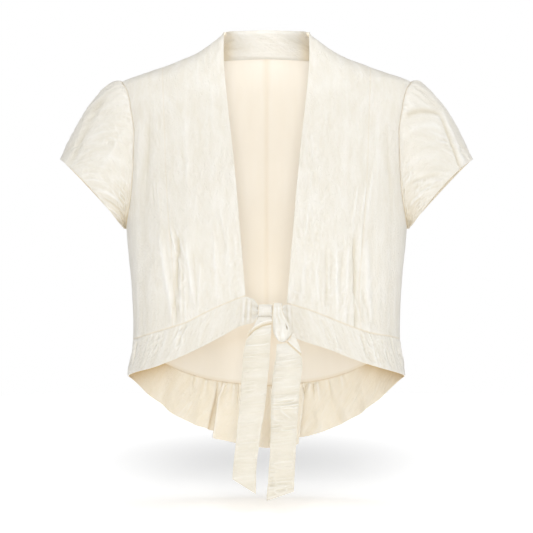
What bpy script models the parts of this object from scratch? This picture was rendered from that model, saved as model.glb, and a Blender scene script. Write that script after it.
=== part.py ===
"""Cropped open-front jacket with short gathered sleeves, a shaped hem band knotted at the centre front
and a gathered back peplum, filled out as if worn. Metres, +Z up, the front faces -Y, +X is the wearer's
left, and the origin is on the shoulder line above the middle of the body."""

import bpy
import numpy as np


def smooth(knots, values, at):
    """Hermite curve through a table's rows, with slopes taken from the neighbouring rows."""
    at = np.asarray(at, float)
    slope = np.gradient(values, knots)
    i = np.clip(np.searchsorted(knots, at) - 1, 0, len(knots) - 2)
    step = knots[i + 1] - knots[i]
    s = (at - knots[i]) / step
    start = (1 + 2 * s) * (1 - s) ** 2 * values[i] + s * (1 - s) ** 2 * step * slope[i]
    end = s * s * (3 - 2 * s) * values[i + 1] + s * s * (s - 1) * step * slope[i + 1]
    return start + end


class Table:
    """Rows of named columns, read as smooth curves along the first column."""

    def __init__(self, names, *rows):
        self.names = names.split()
        self.rows = np.array(rows, float)

    def __getitem__(self, name):
        return self.rows[:, self.names.index(name)]

    def curve(self, name, at):
        return smooth(self.rows[:, 0], self[name], at)


# Walls and seams
SHELL_WALL = 0.0014
LINING_WALL = 0.0010
FACING_WALL = 0.0010
PEPLUM_WALL = 0.0018
TIE_WALL = 0.0020
SEAM_GAP = 0.0003

# The worn form: half width and depths from the side seam's plane, at each height
SECTION_POWER = 2.4
FORM = Table(
    "height half_width front back",
    (-0.5600, 0.1900, 0.1280, 0.1120),
    (-0.4400, 0.1880, 0.1265, 0.1010),
    (-0.4226, 0.1867, 0.1260, 0.0995),
    (-0.4060, 0.1844, 0.1250, 0.0990),
    (-0.3910, 0.1817, 0.1240, 0.0990),
    (-0.3760, 0.1799, 0.1230, 0.0990),
    (-0.3370, 0.1796, 0.1240, 0.1005),
    (-0.3100, 0.1810, 0.1265, 0.1030),
    (-0.2820, 0.1830, 0.1305, 0.1065),
    (-0.2546, 0.1858, 0.1345, 0.1095),
    (-0.2250, 0.1883, 0.1370, 0.1130),
    (-0.1800, 0.1895, 0.1300, 0.1170),
    (-0.1400, 0.1945, 0.1175, 0.1180),
    (-0.1000, 0.2020, 0.1015, 0.1120),
    (-0.0600, 0.2075, 0.0850, 0.1010),
    (-0.0400, 0.2030, 0.0720, 0.0930),
    (-0.0270, 0.1940, 0.0620, 0.0870),
    (-0.0135, 0.1570, 0.0525, 0.0815),
    (-0.0014, 0.1235, 0.0445, 0.0770),
    (0.0070, 0.1030, 0.0385, 0.0740),
    (0.0140, 0.0898, 0.0340, 0.0705),
    (0.0256, 0.0736, 0.0270, 0.0665),
    (0.0380, 0.0590, 0.0200, 0.0630),
    (0.0480, 0.0565, 0.0180, 0.0610),
    (0.0600, 0.0550, 0.0170, 0.0600),
)

# Seam and edge lines, in degrees of turn from the centre front, or metres across from the middle
WAIST_SEAM = Table(
    "turn right left",
    (0, -0.3080, -0.3190),
    (6, -0.3140, -0.3240),
    (14, -0.3245, -0.3320),
    (23, -0.3370, -0.3425),
    (31, -0.3480, -0.3510),
    (43, -0.3570, -0.3610),
    (65, -0.3685, -0.3685),
    (90, -0.3760, -0.3760),
    (136, -0.4120, -0.4120),
    (180, -0.4370, -0.4370),
)
BAND_HEM = Table(
    "turn right left",
    (0, -0.3460, -0.3620),
    (6, -0.3500, -0.3660),
    (14, -0.3646, -0.3750),
    (23, -0.3790, -0.3840),
    (33, -0.3920, -0.3950),
    (45, -0.4040, -0.4050),
    (68, -0.4160, -0.4165),
    (90, -0.4240, -0.4240),
)
FRONT_EDGE = Table(
    "height across",
    (-0.3300, 0.0258),
    (-0.2405, 0.0331),
    (-0.1195, 0.0443),
    (-0.0630, 0.0510),
    (0.0050, 0.0572),
    (0.0425, 0.0577),
)
PRINCESS_SEAM = Table(
    "height across",
    (-0.3800, 0.1235),
    (-0.3000, 0.1205),
    (-0.2250, 0.1260),
    (-0.1500, 0.1315),
    (-0.0800, 0.1345),
    (-0.0075, 0.1390),
)
NECK_COLUMN = Table("height across", (-0.4400, 0.0600), (-0.1000, 0.0595), (0.0425, 0.0577))
FACING_END = Table("height across", (-0.4400, 0.0850), (-0.1000, 0.0880), (0.0140, 0.0898))
NECK_POINT_HEIGHT = 0.0425
BACK_NECK_HEIGHT = 0.0500
FACING_LOW = {"middle": 0.0125, "neck": 0.0100, "end": 0.0070}
BAND_END = 0.0340

# Armhole, an egg in side view, and the cuff, an ellipse across the arm
ARMHOLE_TOP = -0.0270
UNDERARM = -0.2250
ARMHOLE_POWER = 2.3
ARMHOLE_FRONT = 0.0620
ARMHOLE_BACK = 0.0640
CUFF_CENTRE = np.array((0.2356, 0.0, -0.1780))
CUFF_UP = np.array((0.0432, 0.0, 0.04685))
CUFF_DEPTH = 0.0580
CUFF_FRONT_LIFT = 0.0040
HEAD_NORMAL = np.array((0.775, 0.0, 0.632))
HEAD_FULLNESS = 0.0354
HEAD_RISE = 0.40
HEAD_FALL = 1.13

# Rows of the body panels: up to the underarm, then to the shoulder, on the back in two stages
LOWER_ROWS = 5
UPPER_ROWS = 11
FACING_ROWS = 3
FACING_ANGLE = 40.0
BACK_COLUMNS = (5, 1, 5)

# Largest folds of the fronts, as ridges (+) and troughs (-) along a line from top to low
FRONT_FOLDS = {
    "right": Table(
        "across_top top across_low low half_width depth",
        (0.1170, -0.228, 0.1190, -0.345, 0.0070, -0.0034),
        (0.1420, -0.215, 0.1310, -0.362, 0.0080, 0.0030),
        (0.1000, -0.238, 0.1040, -0.345, 0.0085, 0.0026),
    ),
    "left": Table(
        "across_top top across_low low half_width depth",
        (0.1160, -0.232, 0.1190, -0.330, 0.0070, -0.0032),
        (0.0860, -0.232, 0.0900, -0.325, 0.0085, 0.0026),
        (0.1330, -0.262, 0.1310, -0.362, 0.0080, 0.0030),
    ),
}

# Sleeve head gathers, placed in degrees from the shoulder, positive to the front
HEAD_GATHERS = Table(
    "angle half_width height",
    (-60.0, 3.2, 0.0016),
    (-51.5, 3.0, 0.0020),
    (-42.0, 3.2, 0.0023),
    (-33.5, 2.8, 0.0021),
    (-24.0, 3.2, 0.0025),
    (-15.5, 2.9, 0.0022),
    (-6.0, 3.0, 0.0020),
    (3.0, 3.1, 0.0024),
    (12.5, 2.9, 0.0021),
    (21.0, 3.2, 0.0026),
    (30.5, 2.8, 0.0022),
    (39.0, 3.2, 0.0025),
    (48.5, 3.0, 0.0021),
    (57.0, 3.2, 0.0017),
)
GATHER_FADE = Table("along share", (0, 0.35), (0.06, 1), (0.15, 0.9), (0.30, 0.5), (0.55, 0.15), (1, 0))
SLEEVE_ROWS = (0, 0.05, 0.14, 0.32, 0.62, 1)
GATHER_COLUMNS = 42
PLAIN_COLUMNS = 18
GATHER_REACH = 64.0

# Peplum: hem line and section, and its gathers, outward (+) and inward (-) at the hem
PEPLUM_HEM = Table(
    "turn height",
    (90, -0.4240),
    (104, -0.4318),
    (122, -0.4529),
    (142, -0.4865),
    (155, -0.5049),
    (168, -0.5200),
    (180, -0.5290),
)
PEPLUM_HALF_WIDTH = 0.1872
PEPLUM_BACK = 0.1320
PEPLUM_COLUMNS = 84
PEPLUM_ROWS = 4
PEPLUM_GATHERS = Table(
    "across lean half_width depth",
    (-0.118, -0.012, 0.012, 0.005),
    (-0.092, -0.012, 0.010, -0.004),
    (-0.076, -0.012, 0.009, 0.006),
    (-0.060, -0.012, 0.007, 0.011),
    (-0.048, -0.008, 0.007, -0.008),
    (-0.033, -0.006, 0.008, 0.006),
    (-0.017, -0.003, 0.008, -0.006),
    (-0.002, 0.000, 0.008, 0.006),
    (0.013, 0.003, 0.008, -0.006),
    (0.028, 0.000, 0.008, 0.007),
    (0.043, -0.004, 0.007, -0.008),
    (0.053, -0.008, 0.007, 0.011),
    (0.064, 0.004, 0.005, -0.004),
    (0.074, 0.018, 0.009, 0.007),
    (0.090, 0.018, 0.010, -0.004),
    (0.112, 0.015, 0.012, 0.005),
)

# Knot wraps, strips bent round an axis along X and open at the back
WRAP_OPEN = 100.0
WRAPS = {
    "knot_wrap_right": {"middle": (-0.0013, -0.1345, -0.3340), "width": 0.0182, "radius": 0.0088, "crown": 0.0012},
    "knot_wrap_left": {"middle": (0.0148, -0.1345, -0.3342), "width": 0.0134, "radius": 0.0086, "crown": 0.0010},
    "knot_loop": {"middle": (0.0208, -0.1370, -0.3602), "width": 0.0262, "radius": 0.0148, "crown": 0.0016},
}

# Tie necks, from the band's end to the knot: middle and half sizes of each section
NECKS = {
    "tie_neck_right": Table(
        "across y z half_tall half_deep",
        (-0.0337, -0.1214, -0.3355, 0.0172, 0.0011),
        (-0.0270, -0.1228, -0.3348, 0.0160, 0.0017),
        (-0.0200, -0.1265, -0.3344, 0.0122, 0.0032),
        (-0.0150, -0.1310, -0.3341, 0.0080, 0.0044),
        (-0.0112, -0.1335, -0.3340, 0.0046, 0.0044),
        (0.0060, -0.1345, -0.3340, 0.0045, 0.0045),
    ),
    "tie_neck_left": Table(
        "across y z half_tall half_deep",
        (0.0075, -0.1345, -0.3342, 0.0045, 0.0045),
        (0.0190, -0.1343, -0.3342, 0.0045, 0.0045),
        (0.0224, -0.1330, -0.3344, 0.0047, 0.0044),
        (0.0265, -0.1275, -0.3372, 0.0090, 0.0034),
        (0.0305, -0.1234, -0.3415, 0.0148, 0.0019),
        (0.0337, -0.1214, -0.3460, 0.0190, 0.0011),
    ),
}
NECK_SIDES = 16
NECK_RINGS = 13
NECK_PLEATS = 4
NECK_PLEAT_DEPTH = 0.0005

# Tie tails, hanging in front of the body: edges at each share of the length, and the heights of both edges
TAILS = {
    "tie_tail_right": Table(
        "along x_first z_first x_second z_second y bow slant",
        (0.00, -0.0115, -0.3410, 0.0052, -0.3410, -0.1420, 0.0003, 1),
        (0.04, -0.0165, -0.3520, 0.0055, -0.3540, -0.1500, 0.0045, 1),
        (0.09, -0.0225, -0.3620, 0.0055, -0.3640, -0.1520, 0.0045, 1),
        (0.16, -0.0272, -0.3770, 0.0046, -0.3800, -0.1515, 0.0035, 1),
        (0.30, -0.0308, -0.4050, 0.0020, -0.4100, -0.1500, 0.0025, 1),
        (0.50, -0.0340, -0.4480, -0.0020, -0.4540, -0.1490, 0.0020, 1),
        (0.70, -0.0380, -0.4880, -0.0085, -0.4980, -0.1480, 0.0020, 1),
        (0.85, -0.0412, -0.5180, -0.0126, -0.5310, -0.1480, 0.0015, 1),
        (1.00, -0.0439, -0.5480, -0.0135, -0.5670, -0.1480, 0.0010, 1),
    ),
    "tie_tail_left": Table(
        "along x_first z_first x_second z_second y bow slant",
        (0.00, 0.0130, -0.3757, 0.0445, -0.3600, -0.1360, 0.0000, 6),
        (0.06, 0.0122, -0.3900, 0.0461, -0.3760, -0.1430, 0.0030, 4),
        (0.14, 0.0092, -0.4060, 0.0450, -0.3950, -0.1480, 0.0040, 2.5),
        (0.30, 0.0066, -0.4360, 0.0428, -0.4280, -0.1490, 0.0030, 1),
        (0.50, 0.0054, -0.4760, 0.0400, -0.4690, -0.1480, 0.0025, 1),
        (0.70, 0.0042, -0.5140, 0.0380, -0.5060, -0.1475, 0.0020, 1),
        (0.85, 0.0022, -0.5450, 0.0364, -0.5350, -0.1475, 0.0015, 1),
        (1.00, -0.0003, -0.5757, 0.0350, -0.5640, -0.1475, 0.0010, 1),
    ),
}
TAIL_ROWS = 18
TAIL_COLUMNS = 4

# Looks
CRINKLE_SATIN = {"colour": (0.90, 0.86, 0.76), "roughness": 0.42}
LINING_SATIN = {"colour": (0.93, 0.85, 0.72), "roughness": 0.38}


def form(turn, height):
    """Point of the worn form: a superellipse section at the height, at a turn from 0 at the centre front
    through a quarter at the side to a half at the centre back."""
    ahead = np.cos(turn)
    aside = np.sin(turn)
    depth = np.where(ahead > 0, FORM.curve("front", height), FORM.curve("back", height))
    x = FORM.curve("half_width", height) * np.sign(aside) * np.abs(aside) ** (2 / SECTION_POWER)
    y = -depth * np.sign(ahead) * np.abs(ahead) ** (2 / SECTION_POWER)
    return np.stack([x, y, height + 0 * turn], axis=-1)


def form_normal(turn, height):
    """Outward unit normal of the worn form."""
    around = form(turn + 1e-3, height) - form(turn - 1e-3, height)
    up = form(turn, height + 2e-4) - form(turn, height - 2e-4)
    normal = np.cross(around, up)
    return normal / np.linalg.norm(normal, axis=-1, keepdims=True)


def ridge_height(across):
    """Height at which the shoulder ridge is this far from the middle."""
    heights = np.linspace(ARMHOLE_TOP, NECK_POINT_HEIGHT, 4000)
    return np.interp(across, FORM.curve("half_width", heights)[::-1], heights[::-1])


def seam_height(table, turn, side):
    return table.curve(side, np.degrees(turn))


def climb(table, inset, side, back=False, facing_low=None):
    """Turn and height of a line up the form from the waist seam to the shoulder ridge, at the distance
    across that its table gives."""
    top = ridge_height(table["across"][-1] + inset)
    heights = top - (top - table["height"][0]) * np.linspace(1, 0, 3000) ** 2
    share = (table.curve("across", heights) + inset) / FORM.curve("half_width", heights)
    turn = np.arcsin(np.clip(share, 0, 1) ** (SECTION_POWER / 2))
    turn[-1] = np.pi / 2
    turn = np.pi - turn if back else turn
    kept = heights >= seam_height(WAIST_SEAM, turn, side) + SEAM_GAP / 2
    return even_steps(turn[kept], heights[kept], facing_low)


def even_steps(turn, heights, facing_low):
    """Points of a line in even steps up to the underarm, then up to the facing's edge, then to the top."""
    run = np.linalg.norm(np.diff(form(turn, heights), axis=0), axis=1)
    length = np.concatenate([[0], np.cumsum(run)])
    stages = [(UNDERARM, LOWER_ROWS), (heights[-1], UPPER_ROWS)]
    if facing_low is not None:
        stages[1:] = [(facing_low, UPPER_ROWS - FACING_ROWS), (heights[-1], FACING_ROWS)]
    steps = [0.0]
    for height, rows in stages:
        steps += np.linspace(steps[-1], np.interp(height, heights, length), rows + 1)[1:].tolist()
    return np.interp(steps, length, turn), np.interp(steps, length, heights)


def centre_back():
    heights = np.linspace(WAIST_SEAM["left"][-1] + SEAM_GAP / 2, BACK_NECK_HEIGHT, 2000)
    return even_steps(np.full(2000, np.pi), heights, FACING_LOW["middle"])


def armhole(angle):
    """Turn and height of the armhole, at an angle from the shoulder round by the front."""
    ahead = np.sin(angle)
    depth = np.where(ahead > 0, ARMHOLE_FRONT, ARMHOLE_BACK) * np.abs(ahead) ** (2 / ARMHOLE_POWER)
    rise = np.sign(np.cos(angle)) * np.abs(np.cos(angle)) ** (2 / ARMHOLE_POWER)
    height = (ARMHOLE_TOP + UNDERARM) / 2 + (ARMHOLE_TOP - UNDERARM) / 2 * rise
    room = np.where(ahead > 0, FORM.curve("front", height), FORM.curve("back", height))
    turn = np.arccos(np.clip(depth / room, 0, 1) ** (SECTION_POWER / 2))
    return np.where(ahead > 0, turn, np.pi - turn), height


def armhole_angles(back):
    """Angles of a panel's rows on the armhole, from the underarm to the shoulder."""
    if not back:
        return np.linspace(np.pi, 0, UPPER_ROWS + 1)
    bend = np.radians(FACING_ANGLE)
    below = np.linspace(np.pi, bend, UPPER_ROWS - FACING_ROWS + 1)
    return -np.concatenate([below, np.linspace(bend, 0, FACING_ROWS + 1)[1:]])


def armhole_edge(angle):
    """Points on the straight runs between the panels' edge points, at angles from the shoulder."""
    angles = np.concatenate([armhole_angles(True), armhole_angles(False)[::-1][1:]])
    points = form(*armhole(angles))
    turned = (angle + np.pi) % (2 * np.pi) - np.pi
    return np.stack([np.interp(turned, angles, points[:, k]) for k in range(3)], axis=-1)


def side_and_armhole(side, back):
    """The outer line of a body panel: the side seam, then the armhole up to the shoulder."""
    low = WAIST_SEAM.curve(side, 90) + SEAM_GAP / 2
    seam = np.linspace(low, UNDERARM, LOWER_ROWS + 1)[:-1]
    turn, height = armhole(armhole_angles(back))
    turn[[0, -1]] = np.pi / 2
    return np.concatenate([np.full(LOWER_ROWS, np.pi / 2), turn]), np.concatenate([seam, height])


def between(lines, columns, side):
    """A panel's grid of turn and height: straight runs between its lines, with the lowest rows eased onto
    the curve of the waist seam."""
    turns, heights = [], []
    for k, count in enumerate(columns):
        share = np.linspace(0, 1, count + 1)[(0 if k == 0 else 1):, None]
        turns.append(lines[k][0] * (1 - share) + lines[k + 1][0] * share)
        heights.append(lines[k][1] * (1 - share) + lines[k + 1][1] * share)
    turn = np.concatenate(turns)
    height = np.concatenate(heights)
    ease = np.clip(1 - np.arange(turn.shape[1]) / LOWER_ROWS, 0, 1) ** 1.5
    for _ in range(3):
        missing = seam_height(WAIST_SEAM, turn[:, :1], side) + SEAM_GAP / 2 - height[:, :1]
        height = height + missing * ease
    return turn, height


def fold_depth(table, across, height):
    """Sum of soft ridges and troughs along their lines, fading at the upper end."""
    total = np.zeros_like(across)
    for top_x, top, low_x, low, half_width, depth in table.rows:
        along = np.clip((top - height) / (top - low), 0, 1.2)
        line = top_x + (low_x - top_x) * along
        window = np.clip(along / 0.35, 0, 1)
        window = window * window * (3 - 2 * window)
        total = total + depth * window * np.exp(-((across - line) / half_width) ** 2)
    return total


def wall_mesh(outer, inner, closed=False):
    """Closed wall between two grids of the same size: two faces and the rim. A closed one is a tube."""
    rows, columns = outer.shape[:2]
    count = rows * columns
    points = np.concatenate([outer.reshape(-1, 3), inner.reshape(-1, 3)])
    index = np.arange(count).reshape(rows, columns)
    if closed:
        index = np.concatenate([index, index[:1]])
    skin = np.stack([index[:-1, :-1], index[1:, :-1], index[1:, 1:], index[:-1, 1:]], axis=-1).reshape(-1, 4)
    rims = [index[:, 0], index[::-1, -1]]
    if not closed:
        rims += [index[-1, :], index[0, ::-1]]
    edges = [np.stack([rim[1:], rim[:-1], rim[:-1] + count, rim[1:] + count], axis=-1) for rim in rims]
    return points, np.concatenate([skin, skin[:, [0, 3, 2, 1]] + count, *edges]).tolist()


def loft_mesh(rings):
    """Closed solid through rings of points, with a fan on each end."""
    count, sides = rings.shape[:2]
    ends = np.stack([rings[0].mean(axis=0), rings[-1].mean(axis=0)])
    points = np.concatenate([rings.reshape(-1, 3), ends])
    index = np.arange(count * sides).reshape(count, sides)
    index = np.concatenate([index, index[:, :1]], axis=1)
    skin = np.stack([index[:-1, :-1], index[:-1, 1:], index[1:, 1:], index[1:, :-1]], axis=-1).reshape(-1, 4)
    first = np.stack([index[0, 1:], index[0, :-1], np.full(sides, count * sides)], axis=-1)
    last = np.stack([index[-1, :-1], index[-1, 1:], np.full(sides, count * sides + 1)], axis=-1)
    return points, skin.tolist() + first.tolist() + last.tolist()


def signed_volume(points, faces):
    total = 0.0
    for face in faces:
        for k in range(1, len(face) - 1):
            total += np.dot(points[face[0]], np.cross(points[face[k]], points[face[k + 1]]))
    return total


def material(name, look):
    made = bpy.data.materials.new(name)
    made.use_nodes = True
    shader = made.node_tree.nodes["Principled BSDF"]
    shader.inputs["Base Color"].default_value = (*look["colour"], 1)
    shader.inputs["Roughness"].default_value = look["roughness"]
    shader.inputs["Metallic"].default_value = 0
    return made


def add_piece(name, made, look, parent):
    """Object with its faces turned outwards, shaded smooth but for its cut edges."""
    points, faces = made
    if signed_volume(points, faces) < 0:
        faces = [face[::-1] for face in faces]
    mesh = bpy.data.meshes.new(name)
    mesh.from_pydata(points.tolist(), [], faces)
    mesh.shade_smooth()
    mesh.set_sharp_from_angle(angle=np.radians(50))
    mesh.materials.append(material(name, look))
    piece = bpy.data.objects.new(name, mesh)
    bpy.context.scene.collection.objects.link(piece)
    piece.parent = parent
    return piece


def placed(points, side, back):
    """Half of the body moved off the middle and off the side plane by half a seam gap, on its own side."""
    points = points + np.array((SEAM_GAP / 2, SEAM_GAP / 2 if back else -SEAM_GAP / 2, 0))
    return points * np.array((1 if side == "left" else -1, 1, 1))


def panel(grid, side, back, wall, depth=0.0, folds=None):
    """Body panel as a wall: its outer points lie at a depth under the form, moved by its folds."""
    turn, height = grid
    normal = form_normal(turn, height)
    outer = form(turn, height)
    lift = fold_depth(folds, outer[..., 0], height) if folds else np.zeros_like(turn)
    outer = outer + normal * (lift - depth)[..., None]
    return wall_mesh(placed(outer, side, back), placed(outer - normal * wall, side, back))


def facing(grid):
    """Band inside the back of the neck, on the points of both backs above its lower edge, joined at the
    middle into one strip from shoulder seam to shoulder seam."""
    columns = BACK_COLUMNS[0] + BACK_COLUMNS[1] + 1
    turn, height = (part[:columns, -FACING_ROWS - 1:] for part in grid)
    normal = form_normal(turn, height)
    depth = SHELL_WALL + LINING_WALL + 2 * SEAM_GAP
    outer = placed(form(turn, height) - normal * depth, "left", True)
    inner = placed(form(turn, height) - normal * (depth + FACING_WALL), "left", True)
    outer[0, :, 0] = 0
    inner[0, :, 0] = 0
    mirror = np.array((-1, 1, 1))
    both = [np.concatenate([half[:0:-1] * mirror, half]) for half in (outer, inner)]
    return wall_mesh(*both)


def band(side, seam_turns):
    """Shaped hem band on the form, from its end near the centre front to the side seam, with its columns
    under those of the front panels."""
    start = np.arcsin((BAND_END / FORM.curve("half_width", -0.34)) ** (SECTION_POWER / 2))
    turn = np.concatenate([[start], seam_turns[seam_turns > start + 0.02]])[:, None]
    share = np.linspace(0, 1, 4)
    high = seam_height(WAIST_SEAM, turn, side) - SEAM_GAP / 2
    height = high + (seam_height(BAND_HEM, turn, side) - high) * share
    turn = turn + 0 * share
    outer = form(turn, height)
    normal = form_normal(turn, height)
    return wall_mesh(placed(outer, side, False), placed(outer - normal * SHELL_WALL, side, False))


def peplum(seam_turns):
    """Gathered skirt of the back: from the backs' lower edges out to a wider hem, with folds that deepen
    downwards."""
    across = np.linspace(-1, 1, PEPLUM_COLUMNS + 1)[:, None]
    turn = np.pi - np.abs(across) * np.pi / 2
    share = np.linspace(0, 1, PEPLUM_ROWS + 1)
    high = seam_height(WAIST_SEAM, turn, "left") - SEAM_GAP / 2
    low = PEPLUM_HEM.curve("height", np.degrees(turn))
    seam = form(seam_turns, seam_height(WAIST_SEAM, seam_turns, "left") - SEAM_GAP / 2)
    top = np.stack([np.interp(-turn, -seam_turns, seam[:, k]) for k in range(3)], axis=-1)
    hem_x = PEPLUM_HALF_WIDTH * np.abs(np.sin(turn)) ** (2 / SECTION_POWER)
    hem_y = PEPLUM_BACK * np.abs(np.cos(turn)) ** (2 / SECTION_POWER)
    hem = np.stack([hem_x, hem_y, low], axis=-1)
    flip = np.stack([np.where(across < 0, -1, 1), np.ones_like(across), np.ones_like(across)], axis=-1)
    outer = (top + (hem - top) * share[None, :, None] ** np.array((1.3, 1.3, 1.0))) * flip
    normal = form_normal(turn, high) * flip * np.array((1, 1, 0))
    normal = normal / np.linalg.norm(normal, axis=-1, keepdims=True)
    wave = np.zeros(outer.shape[:2])
    for x, lean, half_width, depth in PEPLUM_GATHERS.rows:
        wave = wave + depth * np.exp(-((outer[..., 0] - x - lean * share) / half_width) ** 2)
    wave = wave * (0.12 + 0.88 * share ** 1.1) * np.clip((1 - np.abs(across)) / 0.06, 0, 1)
    outer = outer + normal * wave[..., None] + np.array((0, SEAM_GAP / 2, 0))
    return wall_mesh(outer, outer - normal * PEPLUM_WALL)


def sleeve(side):
    """Short tube from the armhole to the cuff, full and gathered at the head."""
    reach = np.radians(GATHER_REACH)
    gathered = np.linspace(-reach, reach, GATHER_COLUMNS + 1)
    plain = np.linspace(reach, 2 * np.pi - reach, PLAIN_COLUMNS + 1)[1:-1]
    angle = np.concatenate([gathered, plain])[:, None]
    along = np.array(SLEEVE_ROWS)
    turn, height = armhole(angle)
    seam = armhole_edge(angle)
    middle = np.array((seam[..., 0].mean(), 0, (ARMHOLE_TOP + UNDERARM) / 2))
    inward = middle - seam
    inward = inward - form_normal(turn, height) * (inward * form_normal(turn, height)).sum(axis=-1, keepdims=True)
    inward = inward / np.linalg.norm(inward, axis=-1, keepdims=True)
    start = seam + inward * SEAM_GAP * 1.2 + np.array((SEAM_GAP * 1.5, 0, 0))
    up = np.cos(angle)[..., None]
    ahead = np.sin(angle)[..., None]
    cuff = CUFF_CENTRE + CUFF_UP * up + np.array((0, -CUFF_DEPTH, 0)) * ahead
    cuff = cuff + np.array((0, 0, CUFF_FRONT_LIFT)) * np.where(ahead > 0, ahead**2, 0)
    full = HEAD_FULLNESS * along**HEAD_RISE * (1 - along) ** HEAD_FALL * (0.5 + 0.5 * np.cos(angle)) ** 1.2
    turned = (angle + np.pi) % (2 * np.pi) - np.pi
    wave = np.zeros_like(angle)
    for place, half_width, tall in HEAD_GATHERS.rows:
        wave = wave + tall * np.exp(-((np.degrees(turned) - place) / half_width) ** 2)
    full = full + wave * GATHER_FADE.curve("share", along)
    out = HEAD_NORMAL * up + np.array((0, -1, 0)) * ahead
    outer = start + (cuff - start) * along[None, :, None] + out * full[..., None]
    radial = (start - middle) * (1 - along)[None, :, None] + (cuff - CUFF_CENTRE) * along[None, :, None]
    radial = radial / np.linalg.norm(radial, axis=-1, keepdims=True)
    inner = outer - radial * SHELL_WALL
    mirror = np.array((1 if side == "left" else -1, 1, 1))
    return wall_mesh(outer * mirror, inner * mirror, closed=True)


def wrap(size):
    """Strip bent round an axis along X, fuller in the middle of its width, open at the back."""
    bend = np.radians(np.linspace(WRAP_OPEN / 2, 360 - WRAP_OPEN / 2, 17))[:, None]
    across = np.linspace(-1, 1, 5)
    radius = size["radius"] - size["crown"] * across**2 + 0 * bend
    middle = np.array(size["middle"])

    def at(r):
        x = middle[0] + across * size["width"] / 2 + 0 * bend
        return np.stack([x, middle[1] + r * np.cos(bend), middle[2] + r * np.sin(bend)], axis=-1)

    return wall_mesh(at(radius), at(radius - TIE_WALL))


def neck(table):
    """Band end drawn together: flat at the band, a pleated bundle at the knot."""
    across = np.linspace(table["across"][0], table["across"][-1], NECK_RINGS)[:, None]
    angle = np.linspace(0, 2 * np.pi, NECK_SIDES, endpoint=False)
    tall = table.curve("half_tall", across)
    deep = table.curve("half_deep", across)
    bundle = np.clip((deep - 0.002) / 0.002, 0, 1)
    ripple = NECK_PLEAT_DEPTH * bundle * np.cos(NECK_PLEATS * angle)
    y = table.curve("y", across) - (deep + ripple) * np.sin(angle)
    z = table.curve("z", across) + (tall + ripple) * np.cos(angle)
    return loft_mesh(np.stack([across + 0 * angle, y, z], axis=-1))


def tail(table):
    """Flat hanging strip between its two edges, bowed forward in the middle, with a slanted end. Where the
    slant is above 1, the second edge's rise is drawn to that edge."""
    along = np.linspace(0, 1, TAIL_ROWS + 1)
    share = np.linspace(0, 1, TAIL_COLUMNS + 1)[:, None]
    x = table.curve("x_first", along) * (1 - share) + table.curve("x_second", along) * share
    slanted = share ** table.curve("slant", along)
    z = table.curve("z_first", along) * (1 - slanted) + table.curve("z_second", along) * slanted
    y = table.curve("y", along) - table.curve("bow", along) * (1 - (2 * share - 1) ** 2)
    outer = np.stack([x, y, z], axis=-1)
    return wall_mesh(outer, outer + np.array((0, TIE_WALL, 0)))


def main():
    for old in list(bpy.data.objects):
        bpy.data.objects.remove(old)
    jacket = bpy.data.objects.new("jacket", None)
    bpy.context.scene.collection.objects.link(jacket)
    half_gap = SEAM_GAP / 2
    for side in ("right", "left"):
        outer_line = side_and_armhole(side, False)
        grid = between([climb(FRONT_EDGE, 0, side), climb(PRINCESS_SEAM, -half_gap, side)], (12,), side)
        seam_turns = grid[0][:-1, 0]
        made = panel(grid, side, False, SHELL_WALL, folds=FRONT_FOLDS[side])
        add_piece(f"front_centre_{side}", made, CRINKLE_SATIN, jacket)
        grid = between([climb(PRINCESS_SEAM, half_gap, side), outer_line], (10,), side)
        seam_turns = np.concatenate([seam_turns, grid[0][:, 0]])
        add_piece(f"front_band_{side}", band(side, seam_turns), CRINKLE_SATIN, jacket)
        made = panel(grid, side, False, SHELL_WALL, folds=FRONT_FOLDS[side])
        add_piece(f"front_side_{side}", made, CRINKLE_SATIN, jacket)
        lines = [
            centre_back(),
            climb(NECK_COLUMN, 0, side, True, FACING_LOW["neck"]),
            climb(FACING_END, 0, side, True, FACING_LOW["end"]),
            side_and_armhole(side, True),
        ]
        grid = between(lines, BACK_COLUMNS, side)
        add_piece(f"back_{side}", panel(grid, side, True, SHELL_WALL), CRINKLE_SATIN, jacket)
        lining_height = grid[1].copy()
        lining_height[:, 0] += SEAM_GAP
        made = panel((grid[0], lining_height), side, True, LINING_WALL, depth=SHELL_WALL + SEAM_GAP)
        add_piece(f"back_lining_{side}", made, LINING_SATIN, jacket)
        add_piece(f"sleeve_{side}", sleeve(side), CRINKLE_SATIN, jacket)
    add_piece("back_neck_facing", facing(grid), CRINKLE_SATIN, jacket)
    add_piece("peplum", peplum(grid[0][:, 0]), CRINKLE_SATIN, jacket)
    for name, size in WRAPS.items():
        add_piece(name, wrap(size), CRINKLE_SATIN, jacket)
    for name, table in NECKS.items():
        add_piece(name, neck(table), CRINKLE_SATIN, jacket)
    for name, table in TAILS.items():
        add_piece(name, tail(table), CRINKLE_SATIN, jacket)


main()
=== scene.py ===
"""Cloth and looks of the cropped tie-front jacket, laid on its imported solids. Metres, +Z up, the front
faces -Y, +X is the wearer's left. Each piece is a grid of points, worked out from the garment's lines,
raised by its folds and crinkles and given a thin wall."""

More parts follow.
